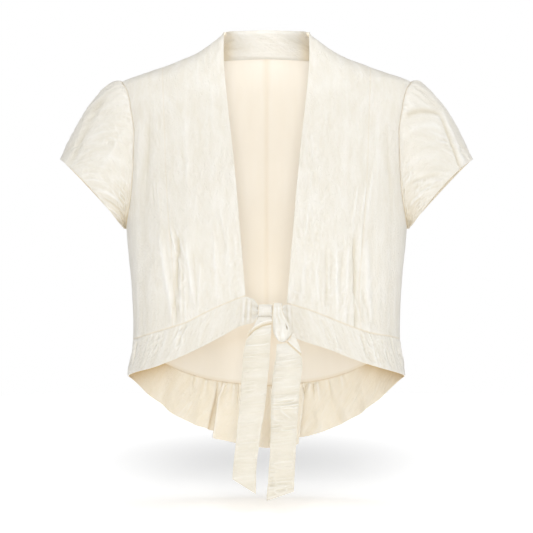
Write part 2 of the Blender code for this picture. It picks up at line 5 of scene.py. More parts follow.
import bpy
import numpy as np
from bpy.props import FloatProperty, FloatVectorProperty, PointerProperty
from bpy.types import Operator, Panel, PropertyGroup
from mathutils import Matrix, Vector


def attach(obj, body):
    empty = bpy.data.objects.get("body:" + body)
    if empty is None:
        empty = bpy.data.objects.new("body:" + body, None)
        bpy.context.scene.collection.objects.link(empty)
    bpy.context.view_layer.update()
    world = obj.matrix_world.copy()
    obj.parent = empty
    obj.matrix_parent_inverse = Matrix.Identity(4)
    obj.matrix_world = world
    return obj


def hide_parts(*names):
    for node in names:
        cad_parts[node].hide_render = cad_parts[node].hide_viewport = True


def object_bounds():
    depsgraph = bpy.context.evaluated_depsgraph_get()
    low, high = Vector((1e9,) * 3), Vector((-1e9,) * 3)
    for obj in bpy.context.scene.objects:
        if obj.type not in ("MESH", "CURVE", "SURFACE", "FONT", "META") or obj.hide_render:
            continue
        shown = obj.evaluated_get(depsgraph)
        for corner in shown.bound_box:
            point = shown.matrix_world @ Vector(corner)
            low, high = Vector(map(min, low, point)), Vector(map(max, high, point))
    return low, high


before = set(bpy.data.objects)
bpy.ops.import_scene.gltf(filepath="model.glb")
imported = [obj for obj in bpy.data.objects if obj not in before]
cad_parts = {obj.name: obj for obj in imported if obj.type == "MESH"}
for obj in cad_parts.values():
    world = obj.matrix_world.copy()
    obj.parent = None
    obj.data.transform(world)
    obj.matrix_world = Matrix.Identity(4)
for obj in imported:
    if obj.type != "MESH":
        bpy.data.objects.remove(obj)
CAD_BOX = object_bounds()

bl_info = {
    "name": "Tie-front jacket",
    "version": (1, 0, 0),
    "blender": (4, 5, 0),
    "location": "3D View > Sidebar > Jacket",
    "description": "Cloth, looks and studio of a cropped tie-front jacket",
    "category": "Object",
}

SIDES = ("right", "left")


def metres(name, description, default, precision=4):
    """A length that a user may change."""
    return FloatProperty(
        name=name, description=description, default=default, unit="LENGTH", precision=precision
    )


def colour(name, description, default):
    """A linear colour that a user may change."""
    return FloatVectorProperty(
        name=name, description=description, default=default, subtype="COLOR", min=0, max=1
    )


class JacketCloth(PropertyGroup):
    """Walls, seams and relief of the cloth."""

    shell_wall: metres("Shell wall", "Thickness of the outer satin", 0.0014)
    lining_wall: metres("Lining wall", "Thickness of the lining and facing", 0.0010)
    peplum_wall: metres("Peplum wall", "Thickness of the peplum", 0.0012)
    tie_wall: metres("Tie wall", "Thickness of the folded ties", 0.0018)
    seam_gap: metres("Seam gap", "Distance between sewn pieces", 0.00003, 5)
    seam_dip: metres("Seam dip", "How far cloth sinks at a seam", 0.0003)
    seam_reach: metres("Seam reach", "How far from a seam the cloth sinks", 0.0011)
    crinkle: metres("Crinkle", "Height of the crushed relief", 0.00062, 5)


class JacketColours(PropertyGroup):
    """Colours of the cloth and the floor."""

    ivory: colour("Ivory", "Outer satin", (0.836, 0.818, 0.772))
    # Each shade colour below darkens random streaks, and also holds painted shade in creases and fold
    # troughs; ridges are painted lighter
    ivory_streak_and_painted_shade: colour("Ivory shade", "Outer satin in its streaks", (0.695, 0.645, 0.535))
    inner: colour("Inner", "Inner face of the satin", (0.940, 0.890, 0.790))
    inner_streak_and_painted_shade: colour("Inner shade", "Inner face in its streaks", (0.860, 0.765, 0.585))
    # Brown of painted shade in corners, slits, under the band and behind the tie ends, and of the peplum's
    # dark seam line
    painted_shade_and_seam_brown: colour("Inner deep", "Inner face deep in its corners", (0.56, 0.38, 0.16))
    # Gold of seam lines, and of painted shade at the underarms, the facing's ends, below the tails' flap
    # creases and along the knot's strip edges
    gold: colour("Gold", "Seam lines", (0.70, 0.54, 0.29))
    cream: colour("Cream", "Lining", (0.965, 0.926, 0.860))
    cream_streak_and_painted_shade: colour("Cream shade", "Lining in its streaks", (0.910, 0.850, 0.745))
    floor: colour("Floor", "Pale studio floor", (0.93, 0.93, 0.93))


class JacketStudio(PropertyGroup):
    """Camera and light."""

    distance: metres("Camera distance", "From the lens to the body's middle plane", 2.8)
    eye_height: metres("Camera height", "Height of the level camera", -0.276)
    view_width: metres("View width", "Width that the picture covers at the body's middle plane", 0.71955)
    floor_gap: metres("Floor gap", "From the lowest tie end down to the floor", 0.025)
    sky: FloatProperty(name="Sky", description="Strength of the even light from all round", default=0.28)
    light: FloatProperty(name="Light", description="Share of the lights' power", default=1.0)


# Curves and tables


def smooth(knots, values, at):
    """Hermite curve through a table's rows, with slopes taken from the neighbouring rows."""
    at = np.asarray(at, float)
    slope = np.gradient(values, knots)
    i = np.clip(np.searchsorted(knots, at) - 1, 0, len(knots) - 2)
    step = knots[i + 1] - knots[i]
    s = (at - knots[i]) / step
    start = (1 + 2 * s) * (1 - s) ** 2 * values[i] + s * (1 - s) ** 2 * step * slope[i]
    end = s * s * (3 - 2 * s) * values[i + 1] + s * s * (s - 1) * step * slope[i + 1]
    return start + end


def ramp(value, reach):
    """Smooth step from 0 to 1 over a reach."""
    share = np.clip(value / reach, 0, 1)
    return share * share * (3 - 2 * share)


def eased(value, least, reach):
    """Smooth step from a least share to 1 over a reach."""
    return least + (1 - least) * ramp(value, reach)


def bell(value, half_width):
    """Bell curve: 1 at 0, and 1/e at the half width."""
    return np.exp(-((value / half_width) ** 2))


class Table:
    """Rows of named columns, read as smooth curves along the first column."""

    def __init__(self, names, *rows):
        self.names = names.split()
        self.rows = np.array(rows, float)

    def __getitem__(self, name):
        return self.rows[:, self.names.index(name)]

    def curve(self, name, at):
        return smooth(self.rows[:, 0], self[name], at)


# The worn form: half width and depths from the side seam's plane, at each height
SECTION_POWER = 2.4
FORM = Table(
    "height half_width front back",
    (-0.5600, 0.1900, 0.1280, 0.1120),
    (-0.4400, 0.1880, 0.1265, 0.1010),
    (-0.4226, 0.1867, 0.1260, 0.0995),
    (-0.4060, 0.1844, 0.1250, 0.0990),
    (-0.3910, 0.1817, 0.1240, 0.0990),
    (-0.3760, 0.1799, 0.1230, 0.0990),
    (-0.3370, 0.1796, 0.1240, 0.1005),
    (-0.3100, 0.1810, 0.1265, 0.1030),
    (-0.2820, 0.1830, 0.1305, 0.1065),
    (-0.2546, 0.1858, 0.1345, 0.1095),
    (-0.2250, 0.1883, 0.1370, 0.1130),
    (-0.1800, 0.1895, 0.1300, 0.1170),
    (-0.1400, 0.1945, 0.1175, 0.1180),
    (-0.1000, 0.2020, 0.1015, 0.1120),
    (-0.0600, 0.2075, 0.0850, 0.1010),
    (-0.0400, 0.2030, 0.0720, 0.0930),
    (-0.0270, 0.1940, 0.0620, 0.0870),
    (-0.0135, 0.1570, 0.0525, 0.0815),
    (-0.0014, 0.1235, 0.0445, 0.0770),
    (0.0070, 0.1030, 0.0385, 0.0740),
    (0.0140, 0.0898, 0.0340, 0.0705),
    (0.0256, 0.0736, 0.0270, 0.0665),
    (0.0380, 0.0590, 0.0200, 0.0630),
    (0.0480, 0.0565, 0.0180, 0.0610),
    (0.0600, 0.0550, 0.0170, 0.0600),
)

# Seam and edge lines, in degrees of turn from the centre front, or metres across from the middle
WAIST_SEAM = Table(
    "turn right left",
    (0, -0.3080, -0.3190),
    (6, -0.3140, -0.3240),
    (14, -0.3245, -0.3320),
    (23, -0.3370, -0.3425),
    (31, -0.3480, -0.3510),
    (43, -0.3570, -0.3610),
    (65, -0.3685, -0.3685),
    (90, -0.3760, -0.3760),
    (136, -0.4120, -0.4120),
    (148, -0.4240, -0.4240),
    (159, -0.4330, -0.4330),
    (180, -0.4420, -0.4420),
)
BAND_HEM = Table(
    "turn right left",
    (0, -0.3460, -0.3620),
    (6, -0.3500, -0.3660),
    (14, -0.3646, -0.3750),
    (23, -0.3790, -0.3840),
    (33, -0.3920, -0.3950),
    (45, -0.4040, -0.4050),
    (68, -0.4160, -0.4165),
    (90, -0.4240, -0.4240),
)
FRONT_EDGE = Table(
    "height across",
    (-0.3300, 0.0258),
    (-0.2405, 0.0331),
    (-0.1195, 0.0443),
    (-0.0630, 0.0510),
    (0.0050, 0.0572),
    (0.0425, 0.0577),
)
PRINCESS_SEAM = Table(
    "height across",
    (-0.3800, 0.1235),
    (-0.3000, 0.1205),
    (-0.2250, 0.1260),
    (-0.1500, 0.1315),
    (-0.0800, 0.1345),
    (-0.0075, 0.1390),
)
NECK_COLUMN = Table("height across", (-0.4400, 0.0600), (-0.1000, 0.0595), (0.0425, 0.0577))
FACING_END = Table("height across", (-0.4400, 0.0850), (-0.1000, 0.0880), (0.0140, 0.0898))
FACING_LOW = {"middle": 0.0125, "neck": 0.0100, "end": 0.0070}
NECK_POINT_HEIGHT = 0.0425
BACK_NECK_HEIGHT = 0.0500
BAND_END = 0.0340
BAND_END_HEIGHT = -0.34
SEAM_EASE = {"power": 1.5, "rounds": 3}

# Small steps for slopes, and numbers of samples along lines
TURN_STEP = 1e-3
HEIGHT_STEP = 2e-4
LOOP_STEP = 1e-3
RIDGE_SAMPLES = 4000
CLIMB_SAMPLES = 6000
CENTRE_SAMPLES = 3000
FACING_SAMPLES = (60, 1500)

# Armhole, an egg in side view, the cuff, an ellipse across the arm, and the fullness of the sleeve's head
ARMHOLE_TOP = -0.0270
UNDERARM = -0.2250
ARMHOLE_POWER = 2.3
ARMHOLE_FRONT = 0.0620
ARMHOLE_BACK = 0.0640
CUFF_CENTRE = np.array((0.2356, 0.0, -0.1780))
CUFF_UP = np.array((0.0432, 0.0, 0.04685))
CUFF_DEPTH = 0.0580
CUFF_FRONT_LIFT = {"right": 0.0088, "left": 0.0112}
HEAD_NORMAL = np.array((0.775, 0.0, 0.632))
HEAD_FULLNESS = 0.0401
HEAD_RISE = 0.50
HEAD_FALL = 1.13
HEAD_TURN = {"rise": 0.7, "full": 1.2}
SLEEVE_OFF = {"in": 1.2, "out": 1.5}

# Grid sizes: columns across and rows along, those of body panels below and above the underarm
CENTRE_COLUMNS = 66
SIDE_COLUMNS = 62
FRONT_ROWS = (72, 150)
BACK_COLUMNS = (30, 12, 56)
BACK_ROWS = (62, 112)
LINING_COLUMNS = (20, 6, 30)
LINING_ROWS = (40, 64)
BAND_GRID = (170, 36)
FACING_COLUMNS = (54, 20)
FACING_ROWS = 28
SLEEVE_GRID = (300, 62)
PEPLUM_GRID = (760, 50)
WRAP_GRID = (44, 110)
LOOP_GRID = (64, 110)
NECK_GRID = (56, 56)
TAIL_GRID = (42, 300)
SLEEVE_ROWS_POWER = 1.25
TAIL_ROWS_POWER = 1.2

# Fronts, bands, backs and lining: where their relief is busy, calm, drawn or loose
BUST_CRUSH = {"from": -0.20, "reach": 0.06, "more": 0.9}
SIDE_CALM = {"from": 0.128, "reach": 0.03, "less": 0.6}
FRONT_FOLD_SHARE = 1.3
BAND_LEAN = 0.35
BAND_CALM = (0.15, 0.006)
BAND_DRAWN = {"spacing": 0.0052, "phase": 1.2, "fade": 0.012, "start": 0.010, "height": 0.0010}
BACK_DIP = 0.0002
LINING_SLACK = {"across": 0.030, "along": 0.160, "share": 0.5, "reach": 0.015, "height": 0.0008}
LINING_SEAM = {"dip": 0.0004, "reach": 0.0014}

# Facing: its painted light, the rise of its upper edge and the painted shade, in gold, at its two ends
FACING_PAINTED_LIGHT = 0.45
FACING_RISE = 0.0022
FACING_END_PAINTED_SHADE = {"share": 0.45, "reach": 0.010}

# Folds of the fronts and backs, as ridges (+) and troughs (-) along a line from top to low
FOLD_COLUMNS = "across_top top across_low low half_width depth"
FRONT_FOLDS = {
    "right": Table(
        FOLD_COLUMNS,
        (0.1405, -0.219, 0.1215, -0.345, 0.0042, 0.0022),
        (0.1340, -0.224, 0.1190, -0.330, 0.0018, -0.0010),
        (0.1260, -0.219, 0.1130, -0.272, 0.0016, 0.0012),
        (0.1215, -0.221, 0.1105, -0.264, 0.0014, -0.0009),
        (0.1180, -0.222, 0.1066, -0.258, 0.0015, 0.0011),
        (0.1130, -0.226, 0.1180, -0.300, 0.0027, -0.0033),
        (0.1060, -0.230, 0.0925, -0.322, 0.0038, 0.0019),
        (0.0955, -0.246, 0.0905, -0.330, 0.0020, -0.0009),
        (0.0850, -0.262, 0.0880, -0.335, 0.0026, 0.0011),
        (0.0690, -0.225, 0.0640, -0.300, 0.0030, 0.0010),
        (0.0520, -0.215, 0.0470, -0.275, 0.0022, 0.0010),
        (0.0450, -0.225, 0.0400, -0.285, 0.0024, -0.0006),
        (0.0600, -0.200, 0.0530, -0.242, 0.0016, 0.0009),
        (0.1470, -0.158, 0.1440, -0.196, 0.0013, 0.0010),
        (0.1425, -0.164, 0.1400, -0.202, 0.0013, 0.0010),
        (0.1530, -0.055, 0.1600, -0.190, 0.0060, -0.0018),
        (0.1660, -0.075, 0.1700, -0.170, 0.0050, 0.0012),
        (0.0900, -0.030, 0.0860, -0.130, 0.0060, -0.0007),
        (0.0720, -0.020, 0.0700, -0.090, 0.0040, 0.0006),
        (0.1080, -0.060, 0.1020, -0.170, 0.0050, 0.0007),
    ),
    "left": Table(
        FOLD_COLUMNS,
        (0.1300, -0.236, 0.1330, -0.350, 0.0044, 0.0020),
        (0.1235, -0.218, 0.1120, -0.292, 0.0022, 0.0008),
        (0.1190, -0.222, 0.1160, -0.300, 0.0018, -0.0005),
        (0.1135, -0.228, 0.1150, -0.314, 0.0032, -0.0034),
        (0.1070, -0.232, 0.1030, -0.302, 0.0024, 0.0010),
        (0.1010, -0.226, 0.0965, -0.294, 0.0020, -0.0006),
        (0.0890, -0.230, 0.0910, -0.325, 0.0042, 0.0019),
        (0.0840, -0.240, 0.0830, -0.320, 0.0020, -0.0006),
        (0.1220, -0.296, 0.1350, -0.352, 0.0019, -0.0013),
        (0.1120, -0.308, 0.1240, -0.352, 0.0017, 0.0010),
        (0.0760, -0.240, 0.0780, -0.310, 0.0026, -0.0010),
        (0.0620, -0.262, 0.0680, -0.322, 0.0022, 0.0011),
        (0.0480, -0.268, 0.0450, -0.318, 0.0019, 0.0009),
        (0.0560, -0.190, 0.0500, -0.236, 0.0016, 0.0010),
        (0.1330, -0.150, 0.1240, -0.205, 0.0015, 0.0011),
        (0.1400, -0.140, 0.1310, -0.205, 0.0016, 0.0010),
        (0.1190, -0.165, 0.1130, -0.210, 0.0014, 0.0010),
        (0.1470, -0.060, 0.1430, -0.190, 0.0050, 0.0010),
        (0.1580, -0.080, 0.1640, -0.190, 0.0055, -0.0014),
        (0.0880, -0.025, 0.0800, -0.110, 0.0050, -0.0007),
        (0.1020, -0.090, 0.1000, -0.190, 0.0060, 0.0007),
    ),
}
BACK_FOLDS = {
    "right": Table(
        FOLD_COLUMNS,
        (0.1250, -0.205, 0.1150, -0.395, 0.0090, 0.0024),
        (0.1080, -0.240, 0.1000, -0.410, 0.0070, -0.0005),
        (0.0860, -0.225, 0.0800, -0.415, 0.0090, 0.0022),
        (0.0480, -0.260, 0.0440, -0.425, 0.0080, 0.0018),
        (0.1500, -0.060, 0.1560, -0.180, 0.0060, 0.0014),
        (0.1180, -0.045, 0.1240, -0.150, 0.0080, 0.0012),
        (0.0700, -0.030, 0.0600, -0.160, 0.0070, 0.0010),
        (0.0250, -0.060, 0.0230, -0.200, 0.0060, 0.0008),
    ),
    "left": Table(
        FOLD_COLUMNS,
        (0.1300, -0.215, 0.1220, -0.390, 0.0080, 0.0022),
        (0.0970, -0.230, 0.0900, -0.410, 0.0095, 0.0024),
        (0.0720, -0.250, 0.0680, -0.420, 0.0070, -0.0005),
        (0.0560, -0.245, 0.0520, -0.425, 0.0075, 0.0019),
        (0.1540, -0.070, 0.1600, -0.190, 0.0055, 0.0013),
        (0.1050, -0.040, 0.1120, -0.160, 0.0085, 0.0012),
        (0.0620, -0.045, 0.0560, -0.150, 0.0065, 0.0009),
        (0.0300, -0.090, 0.0280, -0.220, 0.0060, 0.0008),
    ),
}

# Sleeve head gathers, placed in degrees from the shoulder, positive to the front
HEAD_GATHERS = Table(
    "angle half_width height",
    (-60.0, 3.2, 0.0016),
    (-51.5, 3.0, 0.0020),
    (-42.0, 3.2, 0.0023),
    (-33.5, 2.8, 0.0021),
    (-24.0, 3.2, 0.0025),
    (-15.5, 2.9, 0.0022),
    (-6.0, 3.0, 0.0020),
    (3.0, 3.1, 0.0024),
    (12.5, 2.9, 0.0021),
    (21.0, 3.2, 0.0026),
    (30.5, 2.8, 0.0022),
    (39.0, 3.2, 0.0025),
    (48.5, 3.0, 0.0021),
    (57.0, 3.2, 0.0017),
)
GATHER_FADE = Table("along share", (0, 0.25), (0.05, 1), (0.13, 0.8), (0.28, 0.3), (0.5, 0.06), (1, 0))
GATHER_SHARE = {"right": 0.34, "left": 0.55}
PUCKER = {
    "spacing": 0.0050, "long": 0.05, "shift": 60, "start": 0.003, "reach": 0.0090, "height": 0.0009,
    "right": 290, "left": 291,
}

# Sleeve folds, each a line from one angle and share of the length to another
SLEEVE_COLUMNS = "angle_from along_from angle_to along_to half_width depth"
SLEEVE_FOLDS = {
    "right": Table(
        SLEEVE_COLUMNS,
        (24, 0.20, 50, 1.00, 0.0070, -0.0016),
        (96, 0.95, 132, 0.30, 0.0032, 0.0013),
        (110, 0.95, 145, 0.35, 0.0030, -0.0013),
        (122, 0.98, 156, 0.40, 0.0032, 0.0013),
        (72, 0.10, 88, 0.80, 0.0050, 0.0009),
        (-70, 0.10, -85, 0.85, 0.0060, -0.0013),
        (-30, 0.20, -46, 0.95, 0.0070, -0.0014),
        (-110, 0.90, -140, 0.30, 0.0040, 0.0013),
    ),
    "left": Table(
        SLEEVE_COLUMNS,
        (62, 0.04, 30, 0.42, 0.0030, -0.0026),
        (30, 0.42, 60, 1.00, 0.0034, -0.0026),
        (22, 0.36, 50, 1.00, 0.0050, 0.0014),
        (70, 0.14, 44, 0.50, 0.0040, 0.0012),
        (100, 0.90, 128, 0.35, 0.0032, 0.0011),
        (84, 0.90, 108, 0.25, 0.0030, -0.0011),
        (-64, 0.10, -84, 0.85, 0.0060, -0.0013),
        (-26, 0.25, -48, 0.95, 0.0070, -0.0014),
        (-112, 0.90, -138, 0.30, 0.0040, 0.0013),
    ),
}
SLEEVE_RADIUS = 0.066
SLEEVE_LENGTH = 0.090
SLEEVE_GRAIN = 33.0
SLEEVE_START = 0.3
# Its tone scales the sleeve folds' painted shade in troughs and painted light on ridges
SLEEVE_FOLD = {"start": 0.006, "tone": 1.3}
# Painted shade, in gold, at the sleeve's underarm, fading towards the cuff
UNDERARM_PAINTED_SHADE = {"share": 0.85, "reach": 0.050, "fade": 0.4}

# Peplum: hem line and section, and its gathers, outward (+) and inward (-) at the hem, with how far each
# leans over
PEPLUM_HEM = Table(
    "turn height",
    (90, -0.4240),
    (104, -0.4318),
    (122, -0.4529),
    (142, -0.4865),
    (155, -0.5049),
    (168, -0.5200),
    (180, -0.5290),
)
PEPLUM_HALF_WIDTH = 0.1872
PEPLUM_BACK = 0.1320
PEPLUM_FLARE = (1.3, 1.3, 1.0)
GATHER_GROWTH = {"top": 0.14, "power": 0.9, "ends": 0.06}
PLEAT = {"grown": (0.25, 0.7), "slid": (0.3, 0.3), "steep": 1.5, "reach": 4}
TUCK = {"start": 0.06, "hold": 0.25, "narrow": 0.75, "widen": 1.5, "height": 1.5}
HEM_STEP = {"from": -0.0725, "to": 0.0452, "soft": 0.003, "rise": 0.0034, "fade": 0.050}
PEPLUM_GATHERS = Table(
    "across lean half_width depth",
    (-0.150, -0.010, 0.010, 0.0045),
    (-0.136, -0.012, 0.008, -0.0040),
    (-0.118, -0.014, 0.010, 0.0060),
    (-0.100, -0.014, 0.009, -0.0040),
    (-0.084, -0.014, 0.008, 0.0050),
    (-0.033, -0.006, 0.008, 0.0040),
    (-0.017, -0.003, 0.008, -0.0050),
    (-0.002, 0.000, 0.008, 0.0050),
    (0.013, 0.003, 0.008, -0.0050),
    (0.028, 0.000, 0.008, 0.0045),
    (0.066, 0.012, 0.007, -0.0040),
    (0.078, 0.026, 0.007, 0.0070),
    (0.092, 0.026, 0.009, -0.0050),
    (0.112, 0.018, 0.010, 0.0055),
    (0.128, 0.014, 0.008, -0.0035),
    (0.146, 0.010, 0.010, 0.0045),
)
PEPLUM_PLEATS = Table(
    "across lean half_width step turn_over",
    (-0.0600, -0.0125, 0.0050, -0.0085, 2.2),
    (0.0525, -0.0105, 0.0050, 0.0085, 2.2),
    (-0.0700, -0.0140, 0.0055, 0.0040, 1.1),
)
SEAM_TUCKS = Table(
    "across lean half_width depth reach",
    (-0.1000, -0.010, 0.0030, 0.0016, 0.45),
    (-0.0840, -0.012, 0.0026, -0.0016, 0.40),
    (-0.0690, -0.010, 0.0024, 0.0018, 0.55),
    (-0.0540, -0.008, 0.0022, 0.0020, 0.50),
    (-0.0450, -0.008, 0.0022, -0.0016, 0.35),
    (-0.0390, -0.006, 0.0020, 0.0018, 0.45),
    (-0.0250, -0.004, 0.0022, -0.0016, 0.40),
    (-0.0100, -0.002, 0.0022, 0.0016, 0.45),
    (0.0060, 0.002, 0.0022, -0.0016, 0.40),
    (0.0200, 0.002, 0.0022, 0.0016, 0.45),
    (0.0360, 0.002, 0.0022, -0.0016, 0.40),
    (0.0480, 0.000, 0.0020, 0.0020, 0.40),
    (0.0575, 0.000, 0.0018, 0.0018, 0.32),
    (0.0615, 0.000, 0.0016, -0.0018, 0.30),
    (0.0655, 0.004, 0.0018, 0.0018, 0.34),
    (0.0710, 0.010, 0.0022, -0.0014, 0.40),
    (0.0860, 0.012, 0.0026, 0.0016, 0.45),
    (0.1040, 0.012, 0.0030, -0.0014, 0.40),
)

# Painted shade on the lining and the peplum, a dark line along the peplum's top seam,
# and the lining darker towards the bottom
# Arch across the lining along which the painted shade under the band is strongest
LINING_ARCH = Table(
    "across height",
    (0.0, -0.3690),
    (0.04, -0.3760),
    (0.08, -0.3885),
    (0.12, -0.4035),
    (0.19, -0.4260),
)
LINING_SHADE = {"share": 0.20, "fade": 0.016, "above": 0.03, "reach": 0.02}
LINING_TONE = {"share": 0.45, "from": -0.10, "reach": 0.20}
PEPLUM_SHADE = {"share": 0.95, "fade": 0.0150, "drop": 0.004, "from": 0.085, "reach": 0.060}
PEPLUM_SLIT = {"seam": 0.55, "seam_wide": 0.0013, "pleat": 0.42, "pleat_wide": 0.50}
BEHIND_TIES = {"middle": 0.003, "half_width": 0.012, "share": 0.20}

# Knot wraps, strips bent round an axis along X and open at the back
WRAP_OPEN = 100.0
WRAPS = {
    "knot_wrap_right": {
        "middle": (-0.0013, -0.1345, -0.3335), "width": 0.0190, "radius": 0.0091, "phase": 0.4,
    },
    "knot_wrap_left": {
        "middle": (0.0145, -0.1345, -0.3330), "width": 0.0124, "radius": 0.0096, "phase": 2.1,
    },
}
WRAP_SHAPE = {
    "flat": 0.6, "bulge": 0.05, "curl": 0.10, "ridge": 0.014, "ridges": 1.8, "sway": 0.5,
    "crush": 0.055, "cells_across": 2.2, "cells_along": 2.6, "shift": 9,
}

# Knot loop, a puffed strip from under the wraps over its front and back under: middle line and half width
LOOP = Table(
    "along x y z half_width curl",
    (0.00, 0.0132, -0.1404, -0.3228, 0.0046, 0.0),
    (0.12, 0.0138, -0.1456, -0.3290, 0.0056, 0.0),
    (0.25, 0.0150, -0.1464, -0.3378, 0.0076, 0.1),
    (0.40, 0.0178, -0.1504, -0.3480, 0.0106, 0.7),
    (0.55, 0.0196, -0.1528, -0.3580, 0.0120, 1.0),
    (0.70, 0.0204, -0.1510, -0.3672, 0.0104, 1.0),
    (0.85, 0.0203, -0.1420, -0.3730, 0.0076, 1.0),
    (1.00, 0.0200, -0.1290, -0.3690, 0.0066, 1.0),
)
LOOP_CURL = 0.0058
LOOP_PINCH = {"across": 0.60, "half_wide": 0.07, "along": 0.47, "half_long": 0.045, "depth": 0.0042}
LOOP_SHAPE = {
    "pleat": 0.0004, "pleats": 2.6, "phase": 1.2, "sway": 0.8, "bends": 3, "fade": 0.6, "curl_power": 2.6,
    "crush": 0.0007, "cells_across": 2.6, "cells_along": 8, "shift": 5, "start": 0.4,
}

# Tie necks, from the band's end to the knot: middle line, half height and depth of the pleats
NECK_COLUMNS = "across y z half_tall pleat"
NECKS = {
    "tie_neck_right": Table(
        NECK_COLUMNS,
        (-0.03396, -0.1237, -0.3345, 0.0184, 0.0000),
        (-0.0300, -0.1241, -0.3338, 0.0183, 0.0002),
        (-0.0263, -0.1248, -0.3328, 0.0179, 0.0005),
        (-0.0200, -0.1268, -0.3330, 0.0164, 0.0007),
        (-0.0155, -0.1294, -0.3333, 0.0140, 0.0009),
        (-0.0125, -0.1316, -0.3334, 0.0102, 0.0010),
        (-0.0106, -0.1330, -0.3337, 0.0072, 0.0020),
        (-0.0060, -0.1340, -0.3340, 0.0056, 0.0018),
        (0.0060, -0.1345, -0.3340, 0.0045, 0.0016),
    ),
    "tie_neck_left": Table(
        NECK_COLUMNS,
        (0.0075, -0.1345, -0.3342, 0.0045, 0.0016),
        (0.0160, -0.1342, -0.3340, 0.0054, 0.0010),
        (0.0206, -0.1330, -0.3344, 0.0074, 0.0009),
        (0.0232, -0.1300, -0.3368, 0.0112, 0.0008),
        (0.0272, -0.1262, -0.3415, 0.0164, 0.0006),
        (0.0310, -0.1242, -0.3450, 0.0196, 0.0004),
        (0.03396, -0.1234, -0.3466, 0.0209, 0.0000),
    ),
}
NECK_WALL = 0.0008
NECK_LEAN = 0.35
# The necks' tone scales the painted shade and painted light of their folds
NECK_SHAPE = {
    "pleats": 2.5, "phase": 0.6, "tilt": 0.0011, "lean": 0.0008, "tone": 0.65,
    "crush": 0.35, "cells_up": 3, "shift_up": 5, "cell_across": 0.008, "shift_across": 20,
}
NECK_FOLDS = Table(
    "from_band half_width height",
    (0.0010, 0.0015, -0.0004),
    (0.0042, 0.0022, 0.0011),
    (0.0076, 0.0016, -0.0007),
    (0.0108, 0.0020, 0.0010),
    (0.0142, 0.0014, -0.0006),
)

# Tie tails, hanging in front of the body: edges at each share of the length, and the heights of both edges
TAIL_COLUMNS = "along x_first z_first x_second z_second y bow slant"
TAILS = {
    "tie_tail_right": Table(
        TAIL_COLUMNS,
        (0.000, -0.0105, -0.3424, 0.0064, -0.3424, -0.1390, 0.0003, 1),
        (0.012, -0.0112, -0.3444, 0.0066, -0.3444, -0.1432, 0.0012, 1),
        (0.028, -0.0130, -0.3485, 0.0067, -0.3485, -0.1472, 0.0026, 1),
        (0.050, -0.0158, -0.3545, 0.0064, -0.3550, -0.1500, 0.0042, 1),
        (0.090, -0.0232, -0.3635, 0.0057, -0.3645, -0.1518, 0.0045, 1),
        (0.160, -0.0279, -0.3785, 0.0048, -0.3810, -0.1515, 0.0035, 1),
        (0.300, -0.0308, -0.4050, 0.0026, -0.4100, -0.1500, 0.0025, 1),
        (0.500, -0.0340, -0.4480, -0.0020, -0.4540, -0.1490, 0.0020, 1),
        (0.700, -0.0380, -0.4880, -0.0085, -0.4980, -0.1480, 0.0020, 1),
        (0.850, -0.0412, -0.5180, -0.0126, -0.5310, -0.1480, 0.0015, 1),
        (1.000, -0.0439, -0.5480, -0.0135, -0.5670, -0.1480, 0.0010, 1),
    ),
    "tie_tail_left": Table(
        TAIL_COLUMNS,
        (0.000, 0.0130, -0.3752, 0.0345, -0.3605, -0.1445, 0.0000, 4),
        (0.030, 0.0126, -0.3824, 0.0402, -0.3735, -0.1462, 0.0012, 3.5),
        (0.060, 0.0120, -0.3895, 0.0434, -0.3845, -0.1468, 0.0030, 2.5),
        (0.140, 0.0092, -0.4060, 0.0458, -0.3980, -0.1490, 0.0040, 1.4),
        (0.300, 0.0066, -0.4360, 0.0430, -0.4280, -0.1492, 0.0030, 1),
        (0.500, 0.0054, -0.4760, 0.0400, -0.4690, -0.1480, 0.0025, 1),
        (0.700, 0.0042, -0.5140, 0.0380, -0.5060, -0.1475, 0.0020, 1),
        (0.850, 0.0022, -0.5450, 0.0364, -0.5350, -0.1475, 0.0015, 1),
        (1.000, -0.0003, -0.5757, 0.0350, -0.5640, -0.1475, 0.0010, 1),
    ),
}
TAIL_WOBBLE = {
    "size": 0.0003, "along": 26, "across": 1.5, "start": 0.1, "tie_tail_right": 480, "tie_tail_left": 481,
}
TAIL_GRAIN = {"lean": 0.1, "stretch": 0.6, "start": 0.4}
TAIL_CALM = (0.25, 0.030)
# Tails take this share of their shade colour below their top; the lighter top is painted light
TAIL_TONE_AND_PAINTED_LIGHT_TOP = {"share": 0.54, "from": 0.006, "reach": 0.03}

# Folded tops of the tails: the crease's two ends, how far it bows up, and how far the cloth above it stands
# out, with the step across the crease and the painted shade, a golden line, below it
FLAPS = {
    "tie_tail_right": {"ends": ((-0.0150, -0.3556), (0.0066, -0.3476)), "bow": 0.0022, "height": 0.0028},
    "tie_tail_left": {"ends": ((0.0280, -0.3728), (0.0440, -0.3874)), "bow": 0.0, "height": 0.0014},
}
FLAP_STEP = {"below": 0.0004, "reach": 0.0010, "trough": 0.45, "trough_below": 0.0012, "trough_wide": 0.0012}
FLAP_PAINTED_SHADE = {"share": 0.55, "below": 0.0016, "reach": 0.0016}

# Crushed relief: the lattice of random values, and for each field its cells across and along the creases in
# metres and its share, which for the two shifts is in metres too
LATTICE = (97, 89)
SHIFT_ACROSS = {"across": 0.022, "along": 0.060, "share": 0.0032}
SHIFT_ALONG = {"across": 0.030, "along": 0.045, "share": 0.0100}
PATCH = {"across": 0.030, "along": 0.045, "share": 0.85, "middle": 0.55, "least": 0.1, "most": 1.3}
SWELL = {"across": 0.020, "along": 0.085, "share": 0.7}
CREASE = {"across": 0.0090, "along": 0.026, "share": 0.75}
FINE_CREASE = {"across": 0.0048, "along": 0.0095, "share": 0.4}

